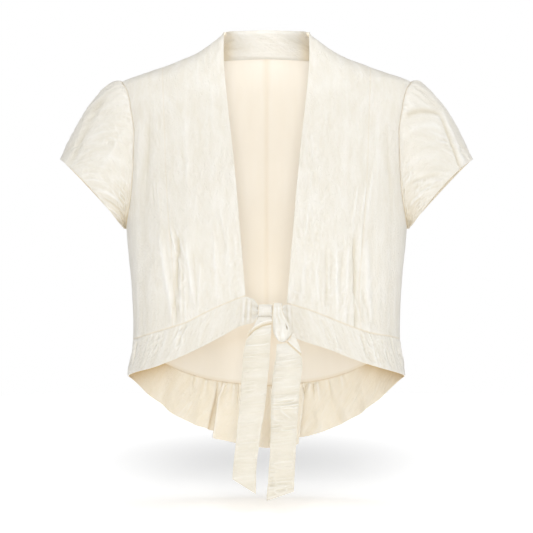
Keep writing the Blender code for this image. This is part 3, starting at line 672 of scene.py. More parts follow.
# Crushed relief by kind of piece: height, size, rise, least share at an edge and reach of its calm
CRUSH = {
    "front": (1.0, 1.0, 0.0, 0.25, 0.006),
    "front_band": (2.0, 0.65, 0.0, 0.30, 0.005),
    "back": (1.0, 1.0, 0.55, 0.25, 0.007),
    "facing": (2.4, 1.0, 1.0, 0.30, 0.004),
    "sleeve": (2.0, 0.80, 0.0, 0.20, 0.006),
    "peplum": (0.8, 1.0, 0.0, 0.15, 0.006),
    "tie_tail_right": (2.3, 0.95, 0.0, 0.25, 0.005),
    "tie_tail_left": (2.6, 0.95, 0.0, 0.25, 0.005),
}

# First seed of each piece's random relief
SEEDS = {
    "front_centre_right": 10,
    "front_centre_left": 50,
    "front_side_right": 30,
    "front_side_left": 70,
    "front_band_right": 90,
    "front_band_left": 110,
    "back_right": 150,
    "back_left": 170,
    "back_lining_right": 210,
    "back_lining_left": 211,
    "back_neck_facing": 240,
    "sleeve_right": 270,
    "sleeve_left": 290,
    "peplum": 320,
    "knot_wrap_right": 400,
    "knot_wrap_left": 410,
    "knot_loop": 430,
    "tie_neck_right": 450,
    "tie_neck_left": 460,
    "tie_tail_right": 500,
    "tie_tail_left": 520,
}

# Edges with a golden line: its half width, and its share on each edge. Along sewn seams it is the seam's
# colour; along the edges of the knot's wraps and loop it is painted shade.
SEAM_LINE = 0.0009
SEAMS = {
    "front_centre": {"last": 0.14, "low": 0.36, "high": 0.20},
    "front_side": {"first": 0.14, "last": 0.24, "low": 0.36, "high": 0.20},
    "front_band": {"high": 0.30, "last": 0.30},
    "back_lining": {"first": 0.15, "low": 0.30},
    "sleeve": {"low": 0.25},
    "knot_wrap": {"first": 0.5, "last": 0.5},
    "knot_loop": {"first": 0.5, "last": 0.35},
}

# Folds and edges: how folds fade along their lines, how edges roll, and how bends and folds turn into tone:
# painted shade in troughs and painted light on ridges
FOLD_FADE = {"reach": 0.35, "from": 0.85, "less": 0.6, "end": 1.2}
LINE_FADE = {"before": 0.08, "from": 0.85, "reach": 0.25}
CREST_POWER = 1.5
EDGE_ROLL = 0.0008
EDGE_THIN = 0.75
RIM_ANGLE = 50.0
HOLLOW_BEND = 0.0013
FOLD_PAINTED_LIGHT_AND_SHADE = 190.0

# Finishes: streaks as cells across and along the grain in metres, detail and twist; the shares of the shade
# colour, from the streaks and from the cloth's painted shade and light, and of the relief; and the gloss
IVORY_STREAKS = {
    "tone": (0.011, 0.036, 3.0, 0.4),
    "crush": (0.0050, 0.011, 2.0, 0.7),
    "dents": (0.0019, 0.0042, 3.0, 0.3),
}
CREAM_STREAKS = {"tone": (0.020, 0.120, 2.0, 0.0), "thread": (0.0006, 0.0080, 2.0, 0.0)}
IVORY_SHARES = {"base": 0.15, "tone": 0.7, "hollow": 0.6, "crush": 0.62, "dents": 0.38}
CREAM_SHARES = {"base": 0.1, "tone": 0.6, "hollow": 0.9}
IVORY_GLOSS = {
    "roughness": 0.24, "rougher": 0.20, "level": 0.5, "sheen": 0.25, "sheen_roughness": 0.4,
    "bump": 0.8, "height": 0.0014,
}
CREAM_GLOSS = {
    "roughness": 0.36, "rougher": 0.10, "level": 0.45, "sheen": 0.10, "sheen_roughness": 0.4,
    "bump": 0.2, "height": 0.0003,
}

# Soft boxes of the studio, turned to the jacket's middle, and narrow beams through the opening
SOFT_BOXES = Table(
    "x y z size watts",
    (0.0, -2.7, 0.95, 0.9, 26),
    (0.0, -3.0, -0.42, 0.3, 12.5),
    (2.2, -1.4, 0.7, 1.2, 3),
    (-2.2, -1.4, 0.7, 1.2, 1.5),
    (1.5, -0.8, 1.9, 1.2, 5),
    (-1.5, -0.8, 1.9, 1.2, 6),
    (2.4, 0.2, 0.9, 1.4, 13.5),
    (-2.4, 0.2, 0.9, 1.4, 8),
    (0.0, 0.0, 2.2, 1.6, 20.5),
    (0.0, 3.2, -0.3, 0.8, 7.5),
)
BEAM_PLACE = (0.0, -3.2, 0.2)
BEAM_SIZE = 0.06
BEAMS = Table("reach aim_height degrees watts", (0.1, -0.03, 6.5, 16), (0.1, 0.02, 3.2, 88))
FLOOR_RADIUS = 2.5
FLOOR_SIDES = 96
FLOOR_MOTTLE = {"scale": 3.0, "detail": 2.0, "roughness": 0.7, "rougher": 0.1}
FLOOR_GLOW = {
    "middle": -0.5, "half_wide": 1.0, "half_deep": 1.0, "from": 0.45, "to": 1.9, "near": 0.36, "far": 0.50,
}
# Painted shadow of the jacket: a soft dark patch taken out of the floor's glow, behind it
FLOOR_SHADE = {
    "middle": 0.70, "half_wide": 0.46, "half_deep": 0.88, "from": 0.0, "to": 1.0, "near": 0.375, "far": 0.0,
}


# Lines of the garment on the worn form


def rounded(value, power):
    """A sine or cosine raised to the power that makes a circle a superellipse, with its sign kept."""
    return np.sign(value) * np.abs(value) ** (2 / power)


def turn_at(share):
    """Turn from the centre front at which the section reaches a share of its half width."""
    return np.arcsin(np.clip(share, 0, 1) ** (SECTION_POWER / 2))


def form(turn, height):
    """Point of the worn form: a superellipse section at the height, at a turn from 0 at the centre front
    through a quarter at the side to a half at the centre back."""
    ahead = np.cos(turn)
    depth = np.where(ahead > 0, FORM.curve("front", height), FORM.curve("back", height))
    x = FORM.curve("half_width", height) * rounded(np.sin(turn), SECTION_POWER)
    return np.stack([x, -depth * rounded(ahead, SECTION_POWER), height + 0 * turn], axis=-1)


def form_normal(turn, height):
    """Outward unit normal of the worn form, from small steps round it and up it."""
    around = form(turn + TURN_STEP, height) - form(turn - TURN_STEP, height)
    up = form(turn, height + HEIGHT_STEP) - form(turn, height - HEIGHT_STEP)
    normal = np.cross(around, up)
    return normal / np.linalg.norm(normal, axis=-1, keepdims=True)


def ridge_height(across):
    """Height at which the shoulder ridge is this far from the middle."""
    heights = np.linspace(ARMHOLE_TOP, NECK_POINT_HEIGHT, RIDGE_SAMPLES)
    return np.interp(across, FORM.curve("half_width", heights)[::-1], heights[::-1])


def seam_height(table, turn, side):
    """Height of a seam or hem line at a turn."""
    return table.curve(side, np.degrees(turn))


def climb(table, inset, side, rows, back=False):
    """Turn and height of a line up the form from the waist seam to the shoulder ridge, at the distance
    across that its table gives."""
    top = ridge_height(table["across"][-1] + inset)
    heights = top - (top - table["height"][0]) * np.linspace(1, 0, CLIMB_SAMPLES) ** 2
    turn = turn_at((table.curve("across", heights) + inset) / FORM.curve("half_width", heights))
    turn[-1] = np.pi / 2
    turn = np.pi - turn if back else turn
    kept = heights >= seam_height(WAIST_SEAM, turn, side)
    return even_steps(turn[kept], heights[kept], rows)


def even_steps(turn, heights, rows):
    """Points of a line in even steps up to the underarm, then in even steps to the top."""
    length = running_length(form(turn, heights), 0)
    middle = np.interp(UNDERARM, heights, length)
    lower = np.linspace(0, middle, rows[0] + 1)
    steps = np.concatenate([lower, np.linspace(middle, length[-1], rows[1] + 1)[1:]])
    return np.interp(steps, length, turn), np.interp(steps, length, heights)


def centre_back(rows):
    """The line up the middle of the back, from the waist seam to the neck."""
    heights = np.linspace(WAIST_SEAM["left"][-1], BACK_NECK_HEIGHT, CENTRE_SAMPLES)
    return even_steps(np.full(CENTRE_SAMPLES, np.pi), heights, rows)


def armhole(angle):
    """Turn and height of the armhole, at an angle from the shoulder round by the front."""
    ahead = np.sin(angle)
    depth = np.where(ahead > 0, ARMHOLE_FRONT, ARMHOLE_BACK) * np.abs(rounded(ahead, ARMHOLE_POWER))
    rise = rounded(np.cos(angle), ARMHOLE_POWER)
    height = (ARMHOLE_TOP + UNDERARM) / 2 + (ARMHOLE_TOP - UNDERARM) / 2 * rise
    room = np.where(ahead > 0, FORM.curve("front", height), FORM.curve("back", height))
    turn = np.arccos(np.clip(depth / room, 0, 1) ** (SECTION_POWER / 2))
    return np.where(ahead > 0, turn, np.pi - turn), height


def side_and_armhole(side, rows, back=False):
    """The outer line of a body panel: the side seam, then the armhole up to the shoulder."""
    seam = np.linspace(WAIST_SEAM.curve(side, 90), UNDERARM, rows[0] + 1)[:-1]
    turn, height = armhole(np.linspace(np.pi, 0, rows[1] + 1) * (-1 if back else 1))
    turn[[0, -1]] = np.pi / 2
    return np.concatenate([np.full(rows[0], np.pi / 2), turn]), np.concatenate([seam, height])


def runs(lines, columns):
    """Grid of turn and height: straight runs between neighbouring lines, each in its number of columns."""
    turns, heights = [], []
    for k, count in enumerate(columns):
        share = np.linspace(0, 1, count + 1)[(0 if k == 0 else 1):, None]
        turns.append(lines[k][0] * (1 - share) + lines[k + 1][0] * share)
        heights.append(lines[k][1] * (1 - share) + lines[k + 1][1] * share)
    return np.concatenate(turns), np.concatenate(heights)


def between(lines, columns, side, rows):
    """A panel's grid: runs between its lines, with the rows below the underarm eased onto the curve of the
    waist seam."""
    turn, height = runs(lines, columns)
    ease = np.clip(1 - np.arange(turn.shape[1]) / rows[0], 0, 1) ** SEAM_EASE["power"]
    for _ in range(SEAM_EASE["rounds"]):
        missing = seam_height(WAIST_SEAM, turn[:, :1], side) - height[:, :1]
        height = height + missing * ease
    return turn, height


# Cloth grids


def running_length(points, axis):
    """Running length of a grid's lines along one axis."""
    run = np.linalg.norm(np.diff(points, axis=axis), axis=-1)
    start = np.zeros_like(np.take(run, [0], axis=axis))
    return np.cumsum(np.concatenate([start, run], axis=axis), axis=axis)


class Cloth:
    """One piece of cloth: a grid of points, axis 0 across it and axis 1 along it. outward is 1 where the
    cross product of the two directions points out of the piece's outer face, else -1. deep, tone and gold
    are the shares of its finish at each point: deep is painted shade, and the peplum's dark seam line; tone
    is painted shade and light along folds, painted light on the facing and the tails' tops, and the lining
    darker towards the bottom; gold is seam lines and painted shade."""

    def __init__(self, points, outward=1):
        self.points = points
        self.outward = outward
        self.deep, self.tone, self.gold = np.zeros((3, *points.shape[:2]))
        self.across = running_length(points, 0)
        self.along = running_length(points, 1)

    def normal(self):
        """Unit normals of the outer face: the cross product of the grid's two directions."""
        made = np.cross(np.gradient(self.points, axis=0), np.gradient(self.points, axis=1))
        return self.outward * made / np.linalg.norm(made, axis=-1, keepdims=True)

    def near(self, *edges):
        """Distance of each point along the cloth to the nearest of the named edges."""
        room = {
            "first": self.across,
            "last": self.across[-1:] - self.across,
            "low": self.along,
            "high": self.along[:, -1:] - self.along,
        }
        return np.min([room[edge] for edge in edges], axis=0)

    def lift(self, height):
        """Moves each point out along its normal."""
        self.points = self.points + self.normal() * np.asarray(height)[..., None]

    def crush(self, kind, grain, seed, *edges):
        """Height of a kind of piece's crushed relief, calm near the named edges."""
        height, size, rise, least, reach = CRUSH[kind]
        calm = eased(self.near(*edges), least, reach)
        return bpy.context.scene.jacket_cloth.crinkle * height * calm * (rise + crinkle(*grain, seed, size))

    def sink_seams(self, **edges):
        """Sinks the cloth in a soft groove along its sewn edges, and marks each with a golden line of the
        given share."""
        sizes = bpy.context.scene.jacket_cloth
        self.lift(-sizes.seam_dip * bell(self.near(*edges), sizes.seam_reach))
        self.mark_seams(**edges)

    def mark_seams(self, **edges):
        """Adds a thin golden line along each of the named edges, of the given share."""
        for edge, share in edges.items():
            self.gold = self.gold + share * bell(self.near(edge), SEAM_LINE)

    def mirror(self, side):
        """Carries a piece that was made on the wearer's left over to its own side."""
        if side == "right":
            self.points = self.points * np.array((-1, 1, 1))
            self.outward = -self.outward

    def walls(self, wall, free=()):
        """Outer and inner grids a wall apart, drawn together towards free edges so that they look rolled."""
        share = eased(self.near(*free), EDGE_THIN, EDGE_ROLL) if free else np.ones(self.points.shape[:2])
        normal = self.normal()
        middle = self.points - normal * wall / 2
        half = normal * (share * wall / 2)[..., None]
        return middle + half, middle - half

    def hollow(self):
        """How far each point lies in a crease, from -1 on a ridge to 1 in a trough: the bend of the grid's
        lines towards the outer face, by second differences. The finish uses it to paint shade in troughs and
        light on ridges."""
        normal = self.normal()
        bend = np.zeros(self.points.shape[:2])
        for axis in (0, 1):
            step = np.gradient(self.points, axis=axis)
            turning = np.gradient(step, axis=axis)
            bend = bend + (turning * normal).sum(axis=-1) / (step**2).sum(axis=-1)
        return np.clip(HOLLOW_BEND * bend, -1, 1)

    def cut(self):
        """Width, length and area of the flat piece: its longest lines each way and the sum of its quads."""
        width = running_length(self.points, 0)[-1].max()
        length = running_length(self.points, 1)[:, -1].max()
        first = self.points[1:, 1:] - self.points[:-1, :-1]
        second = self.points[1:, :-1] - self.points[:-1, 1:]
        area = np.linalg.norm(np.cross(first, second), axis=-1).sum() / 2
        return width, length, area


def noise(a, b, seed):
    """Smooth random field from -1 to 1: random values on a unit lattice, blended with quintic steps."""
    wide, tall = LATTICE
    lattice = np.random.default_rng(seed).uniform(-1, 1, LATTICE)
    i = np.floor(a).astype(int)
    j = np.floor(b).astype(int)
    s = a - i
    t = b - j
    s = s**3 * (s * (6 * s - 15) + 10)
    t = t**3 * (t * (6 * t - 15) + 10)
    low = lattice[i % wide, j % tall] * (1 - s) + lattice[(i + 1) % wide, j % tall] * s
    high = lattice[i % wide, (j + 1) % tall] * (1 - s) + lattice[(i + 1) % wide, (j + 1) % tall] * s
    return low * (1 - t) + high * t


def cells(size, a, b, seed):
    """Random field of a named size: its share times noise with its cells across and along the creases."""
    return size["share"] * noise(a / size["across"], b / size["along"], seed)


def crinkle(short, long, seed, size=1.0):
    """Crushed relief from about -1 to 1: wide soft swells, and creases along the zero lines of a stretched
    random field, stronger in some patches than in others. short runs across the creases, long along them."""
    short = short / size
    long = long / size
    a = short + cells(SHIFT_ACROSS, short, long, seed)
    b = long + cells(SHIFT_ALONG, short, long, seed + 1)
    swell = cells(SWELL, a, b, seed + 2)
    crease = CREASE["share"] - 2 * np.abs(cells(CREASE, a, b, seed + 3))
    fine = FINE_CREASE["share"] - 2 * np.abs(cells(FINE_CREASE, a, b, seed + 4))
    patch = np.clip(PATCH["middle"] + cells(PATCH, a, b, seed + 5), PATCH["least"], PATCH["most"])
    return swell + patch * (crease + fine)


def fold_depth(table, across, along):
    """Sum of soft ridges and troughs along their lines, fading in at the upper end and partly out below."""
    total = np.zeros_like(across)
    fade = FOLD_FADE
    for across_top, top, across_low, low, half_width, depth in table.rows:
        share = np.clip((top - along) / (top - low), 0, fade["end"])
        line = across_top + (across_low - across_top) * share
        window = ramp(share, fade["reach"]) * (1 - fade["less"] * ramp(share - fade["from"], fade["reach"]))
        total = total + depth * window * np.exp(-np.abs((across - line) / half_width) ** CREST_POWER)
    return total


def line_folds(rows, a, b):
    """Sum of soft ridges and troughs along straight lines on a flat cut, fading at both ends: each row has
    the line's start and end, its half width and its depth."""
    total = np.zeros_like(a)
    fade = LINE_FADE
    for a_from, b_from, a_to, b_to, half_width, depth in rows:
        run = np.hypot(a_to - a_from, b_to - b_from)
        way = ((a - a_from) * (a_to - a_from) + (b - b_from) * (b_to - b_from)) / run
        off = ((a - a_from) * (b_to - b_from) - (b - b_from) * (a_to - a_from)) / run
        window = ramp(way / run + fade["before"], fade["reach"])
        window = window * (1 - ramp(way / run - fade["from"], fade["reach"]))
        total = total + depth * window * bell(off, half_width)
    return total


def behind_ties(x):
    """Share of painted shade on the cloth behind the gap between the tie ends."""
    return BEHIND_TIES["share"] * bell(x - BEHIND_TIES["middle"], BEHIND_TIES["half_width"])


# Meshes


def cloth_mesh(name, cloth, outer, inner, grain):
    """Closed wall between two grids of the same size: two skins and the rim, with its faces turned out. The
    grain map holds metres across and along the creases. Attributes mark the inner skin; creases and ridges
    with the cloth's tone, for painted shade and light; deep, for painted shade; and gold, for seam lines and
    painted shade."""
    count = outer.shape[0] * outer.shape[1]
    points = np.concatenate([outer.reshape(-1, 3), inner.reshape(-1, 3)])
    index = np.arange(count).reshape(outer.shape[:2])
    skin = np.stack([index[:-1, :-1], index[1:, :-1], index[1:, 1:], index[:-1, 1:]], axis=-1).reshape(-1, 4)
    rims = [index[:, 0], index[::-1, -1], index[-1, :], index[0, ::-1]]
    edges = [np.stack([rim[1:], rim[:-1], rim[:-1] + count, rim[1:] + count], axis=-1) for rim in rims]
    faces = np.concatenate([skin, skin[:, ::-1] + count, *edges])
    corners = points[faces]
    halves = np.cross(corners[:, 1], corners[:, 2]) + np.cross(corners[:, 2], corners[:, 3])
    if (corners[:, 0] * halves).sum() < 0:
        faces = faces[:, ::-1]
    mesh = bpy.data.meshes.new(name)
    mesh.from_pydata(points, [], faces.tolist())
    mesh.shade_smooth()
    mesh.set_sharp_from_angle(angle=np.radians(RIM_ANGLE))
    ends = np.empty(len(mesh.loops), int)
    mesh.loops.foreach_get("vertex_index", ends)
    flat = np.tile(np.stack(grain, axis=-1).reshape(-1, 2), (2, 1))
    mesh.uv_layers.new(name="grain").data.foreach_set("uv", flat[ends].ravel())
    hollow = cloth.hollow()
    marks = {
        "inside": np.repeat((0.0, 1.0), count),
        "hollow": np.stack([cloth.tone + hollow, cloth.tone - hollow]).ravel(),
        "deep": np.tile(cloth.deep.ravel(), 2),
        "gold": np.tile(cloth.gold.ravel(), 2),
    }
    for key, values in marks.items():
        mesh.attributes.new(key, "FLOAT", "POINT").data.foreach_set("value", values)
    return mesh


def dress(node, cloth, walls, grain):
    """Puts a cloth piece in the scene, in the place of its CAD node, with its finish. Its flat cut is
    measured but not kept.
    """
    lined = "lining" in node
    mesh = cloth_mesh(f"{node}_cloth", cloth, *walls, grain)
    mesh.materials.append(finish_of("cream_lining" if lined else "ivory_crinkle"))
    piece = bpy.data.objects.new(f"{node}_cloth", mesh)
    bpy.context.scene.collection.objects.link(piece)
    width, length, area = cloth.cut()
    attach(piece, "root")
    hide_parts(node)


# Finishes


class Shade:
    """A shader value. Operators on it add Math nodes."""

    def __init__(self, finish, socket):
        self.finish = finish
        self.socket = socket

    def maths(self, operation, *values):
        return self.finish.node("ShaderNodeMath", {"operation": operation}, dict(enumerate(values)))

    def __add__(self, other):
        return self.maths("ADD", self, other)

    def __sub__(self, other):
        return self.maths("SUBTRACT", self, other)

    def __rsub__(self, other):
        return self.maths("SUBTRACT", other, self)

    def __mul__(self, other):
        return self.maths("MULTIPLY", self, other)

    __radd__ = __add__
    __rmul__ = __mul__

    def __abs__(self):
        return self.maths("ABSOLUTE", self)


class Finish:
    """The node tree of a material or world, written as expressions."""

    def __init__(self, owner):
        self.owner = owner
        owner.use_nodes = True
        self.tree = owner.node_tree
        kinds = ("BSDF_PRINCIPLED", "BACKGROUND")
        self.surface = next(node for node in self.tree.nodes if node.type in kinds)

    def node(self, kind, settings=None, inputs=None, output=0):
        """Adds a node: its settings first, then the values or links of its sockets."""
        made = self.tree.nodes.new(kind)
        for key, value in (settings or {}).items():
            setattr(made, key, value)
        self.fill(made, inputs or {})
        return Shade(self, made.outputs[output])

    def fill(self, node, inputs):
        """Sets or links a node's sockets."""
        for key, value in inputs.items():
            if isinstance(value, Shade):
                self.tree.links.new(value.socket, node.inputs[key])
            else:
                node.inputs[key].default_value = value

    def mix(self, share, first, second):
        """Colour between two, by a share."""
        return self.node("ShaderNodeMix", {"data_type": "RGBA"}, {0: share, 6: first, 7: second}, output=2)

    def mark(self, name):
        """Value of one of the cloth's attributes."""
        return self.node("ShaderNodeAttribute", {"attribute_name": name}, output="Fac")

    def streaks(self, short, long, detail, twist):
        """Noise stretched along the creases of the grain map, its cells short by long metres."""
        grain = self.node("ShaderNodeUVMap", {"uv_map": "grain"})
        scaled = self.node("ShaderNodeMapping", None, {"Vector": grain, "Scale": (1 / short, 1 / long, 1)})
        inputs = {"Vector": scaled, "Scale": 1.0, "Detail": detail, "Roughness": 0.6, "Distortion": twist}
        return self.node("ShaderNodeTexNoise", {"noise_dimensions": "2D"}, inputs)

    def shaded(self, tone, shares):
        """Share of the shade colour, by the streaks and by the cloth's creases: painted shade in creases and
        fold troughs, painted light on ridges.
        """
        return shares["base"] + shares["tone"] * tone + shares["hollow"] * self.mark("hollow")

    def satin(self, tint, grain, relief, gloss):
        """Fills a satin's surface with its colour, its gloss, rougher by its grain, and its raised relief."""
        raised = {"Strength": gloss["bump"], "Distance": gloss["height"], "Height": relief}
        inputs = {
            "Base Color": tint,
            "Roughness": gloss["roughness"] + gloss["rougher"] * grain,
            "Specular IOR Level": gloss["level"],
            "Sheen Weight": gloss["sheen"],
            "Sheen Roughness": gloss["sheen_roughness"],
            "Normal": self.node("ShaderNodeBump", None, raised),
        }
        self.fill(self.surface, inputs)
        return self.owner


def opaque(tint):
    """A colour with full alpha, as a socket takes it."""
    return (*tint, 1.0)


def crinkle_satin(colours):
    """Ivory satin, cream on its inner face: streaks along the grain shift its tone and gloss, and fine
    crushed lines raise it. Its colour also holds painted shade in creases and fold troughs and painted light
    on ridges, golden seam lines and painted shade, and on the inner face brown painted shade and a dark seam
    line."""
    finish = Finish(bpy.data.materials.new("ivory_crinkle"))
    inside = finish.mark("inside")
    tone = finish.streaks(*IVORY_STREAKS["tone"])
    crush = 1 - abs(2 * finish.streaks(*IVORY_STREAKS["crush"]) - 1)
    dents = finish.streaks(*IVORY_STREAKS["dents"])
    relief = IVORY_SHARES["crush"] * crush + IVORY_SHARES["dents"] * dents
    share = finish.shaded(tone, IVORY_SHARES)
    light = finish.mix(inside, opaque(colours.ivory), opaque(colours.inner))
    shade = finish.mix(inside, opaque(colours.ivory_streak_and_painted_shade), opaque(colours.inner_streak_and_painted_shade))
    # Gold: seam lines, and painted shade
    tint = finish.mix(finish.mark("gold"), finish.mix(share, light, shade), opaque(colours.gold))
    # Painted shade on the inner face, and the peplum's dark seam line
    tint = finish.mix(finish.mark("deep") * inside, tint, opaque(colours.painted_shade_and_seam_brown))
    return finish.satin(tint, dents, relief, IVORY_GLOSS)


def lining_satin(colours):
    """Smooth cream lining: faint long streaks and a fine thread. Its colour also holds painted shade in its
    creases, under the band and behind the tie ends, a darker tone towards the bottom, and golden seam lines.
    """
    finish = Finish(bpy.data.materials.new("cream_lining"))
    tone = finish.streaks(*CREAM_STREAKS["tone"])
    thread = finish.streaks(*CREAM_STREAKS["thread"])
    share = finish.shaded(tone, CREAM_SHARES)
    tint = finish.mix(share, opaque(colours.cream), opaque(colours.cream_streak_and_painted_shade))
    tint = finish.mix(finish.mark("gold"), tint, opaque(colours.gold))
    # Painted shade under the band and behind the tie ends
    tint = finish.mix(finish.mark("deep"), tint, opaque(colours.painted_shade_and_seam_brown))
    return finish.satin(tint, thread, thread, CREAM_GLOSS)


def finish_of(name):
    """The named finish, made once and shared by its pieces."""
    makers = {"ivory_crinkle": crinkle_satin, "cream_lining": lining_satin}
    return bpy.data.materials.get(name) or makers[name](bpy.context.scene.jacket_colours)


# Pieces


def body_points(turn, height, back):
    """Points of a body panel on the form, half a seam gap off the middle and off the side seam's plane."""
    gap = bpy.context.scene.jacket_cloth.seam_gap
    return form(turn, height) + np.array((gap / 2, gap / 2 if back else -gap / 2, 0))


def grain_of(cloth):
    """Metres across and along a body panel's upright creases, counted from the middle and from the origin's
    height."""
    return cloth.across + cloth.points[:1, :, 0], cloth.along + cloth.points[:, :1, 2]


class JACKET_OT_fronts(Operator):
    """Lay the centre and side panels of both fronts"""

    bl_idname = "jacket.fronts"
    bl_label = "Fronts"

    def execute(self, context):
        half_gap = context.scene.jacket_cloth.seam_gap / 2
        for side in SIDES:
            edge = climb(FRONT_EDGE, 0, side, FRONT_ROWS)
            inner, outer = (climb(PRINCESS_SEAM, inset, side, FRONT_ROWS) for inset in (-half_gap, half_gap))
            self.panel("front_centre", side, (edge, inner), CENTRE_COLUMNS, ("first",))
            self.panel("front_side", side, (outer, side_and_armhole(side, FRONT_ROWS)), SIDE_COLUMNS)
        return {"FINISHED"}

    @staticmethod
    def panel(kind, side, lines, columns, free=()):
        """Front cloth: the form between two lines, raised by its placed folds and its crinkle, which is
        busier under the bust and calmer at the side, and sunk at its seams."""
        node = f"{kind}_{side}"
        cloth = Cloth(body_points(*between(lines, (columns,), side, FRONT_ROWS), False))
        grain = grain_of(cloth)
        x, z = cloth.points[..., 0], cloth.points[..., 2]
        folds = fold_depth(FRONT_FOLDS[side], x, z)
        busy = 1 + BUST_CRUSH["more"] * ramp(BUST_CRUSH["from"] - z, BUST_CRUSH["reach"])
        busy = busy * (1 - SIDE_CALM["less"] * ramp(x - SIDE_CALM["from"], SIDE_CALM["reach"]))
        relief = busy * cloth.crush("front", grain, SEEDS[node], *SEAMS[kind], *free)
        cloth.lift(FRONT_FOLD_SHARE * folds + relief)
        # Painted shade in the folds' troughs and painted light on their ridges
        cloth.tone = -FOLD_PAINTED_LIGHT_AND_SHADE * folds
        cloth.sink_seams(**SEAMS[kind])
        cloth.mirror(side)
        walls = cloth.walls(bpy.context.scene.jacket_cloth.shell_wall, free)
        dress(node, cloth, walls, grain)


class JACKET_OT_bands(Operator):
    """Lay the shaped hem bands under the fronts"""

    bl_idname = "jacket.bands"
    bl_label = "Front bands"

    def execute(self, context):
        sizes = context.scene.jacket_cloth
        columns, rows = BAND_GRID
        start = turn_at(BAND_END / FORM.curve("half_width", BAND_END_HEIGHT))
        turn = np.linspace(start, np.pi / 2, columns + 1)[:, None]
        share = np.linspace(0, 1, rows + 1)
        for side in SIDES:
            node = f"front_band_{side}"
            low = seam_height(BAND_HEM, turn, side)
            high = seam_height(WAIST_SEAM, turn, side) - sizes.seam_gap
            cloth = Cloth(body_points(turn + 0 * share, low + (high - low) * share, False))
            grain = (cloth.across + BAND_LEAN * cloth.along, cloth.along)
            relief = cloth.crush("front_band", grain, SEEDS[node], "low", "high")
            relief = relief * eased(cloth.near("first"), *BAND_CALM)
            cloth.lift(relief + self.drawn(cloth))
            cloth.sink_seams(**SEAMS["front_band"])
            cloth.mirror(side)
            dress(node, cloth, cloth.walls(sizes.shell_wall, ("low",)), grain)
        return {"FINISHED"}

    @staticmethod
    def drawn(cloth):
        """Height of the folds that the knot draws into a band's end: a wave up it that fades along it."""
        size = BAND_DRAWN
        wave = size["height"] * np.sin(cloth.along / size["spacing"] + size["phase"])
        return wave * np.exp(-cloth.across / size["fade"]) * ramp(cloth.across, size["start"])


def back_lines(side, rows):
    """Lines of a back panel: centre-back seam, neck point, end of the facing, side seam and armhole."""
    return [
        centre_back(rows),
        climb(NECK_COLUMN, 0, side, rows, True),
        climb(FACING_END, 0, side, rows, True),
        side_and_armhole(side, rows, True),
    ]


class JACKET_OT_backs(Operator):
    """Lay the outer cloth of the back"""

    bl_idname = "jacket.backs"
    bl_label = "Backs"

    def execute(self, context):
        sizes = context.scene.jacket_cloth
        sewn = ("first", "last", "low")
        for side in SIDES:
            node = f"back_{side}"
            grid = between(back_lines(side, BACK_ROWS), BACK_COLUMNS, side, BACK_ROWS)
            cloth = Cloth(body_points(*grid, True), -1)
            grain = grain_of(cloth)
            folds = fold_depth(BACK_FOLDS[side], cloth.points[..., 0], cloth.points[..., 2])
            cloth.lift(np.maximum(folds + cloth.crush("back", grain, SEEDS[node], *sewn), -BACK_DIP))
            cloth.lift(-BACK_DIP * bell(cloth.near(*sewn), sizes.seam_reach))
            cloth.mirror(side)
            dress(node, cloth, cloth.walls(sizes.shell_wall, ("high",)), grain)
        return {"FINISHED"}


class JACKET_OT_lining(Operator):
    """Lay the smooth lining inside the back"""

    bl_idname = "jacket.lining"
    bl_label = "Back lining"

    def execute(self, context):
        sizes = context.scene.jacket_cloth
        depth = sizes.shell_wall + sizes.seam_gap
        slack = LINING_SLACK
        for side in SIDES:
            node = f"back_lining_{side}"
            turn, height = between(back_lines(side, LINING_ROWS), LINING_COLUMNS, side, LINING_ROWS)
            height[:, 0] += sizes.seam_gap
            points = body_points(turn, height, True) - depth * form_normal(turn, height)
            hidden, shown = Cloth(points), Cloth(points)
            grain = grain_of(hidden)
            loose = 0.5 + cells(slack, *grain, SEEDS[node])
            loose = loose * ramp(hidden.near("first", "last", "low"), slack["reach"])
            shown.lift(sizes.lining_wall + slack["height"] * loose)
            shown.lift(-LINING_SEAM["dip"] * bell(hidden.near("first"), LINING_SEAM["reach"]))
            hidden.mirror(side)
            shown.mirror(side)
            shown.mark_seams(**SEAMS["back_lining"])
            # Painted shade under the band and behind the tie ends, and a tone darker towards the bottom
            shown.deep = self.under_band(shown.points)
            lower = LINING_TONE["from"] - shown.points[..., 2]
            shown.tone = LINING_TONE["share"] * ramp(lower, LINING_TONE["reach"])
            dress(node, shown, (shown.points, hidden.points), grain)
        return {"FINISHED"}

    @staticmethod
    def under_band(points):
        """Share of painted shade on the lining: strongest along an arch behind the front band and fading
        below it, and behind the gap between the tie ends."""
        below = LINING_ARCH.curve("height", np.abs(points[..., 0])) - points[..., 2]
        shade = LINING_SHADE["share"] * np.exp(-np.maximum(below, 0) / LINING_SHADE["fade"])
        above = ramp(below + LINING_SHADE["above"], LINING_SHADE["reach"])
        return (shade + behind_ties(points[..., 0])) * above


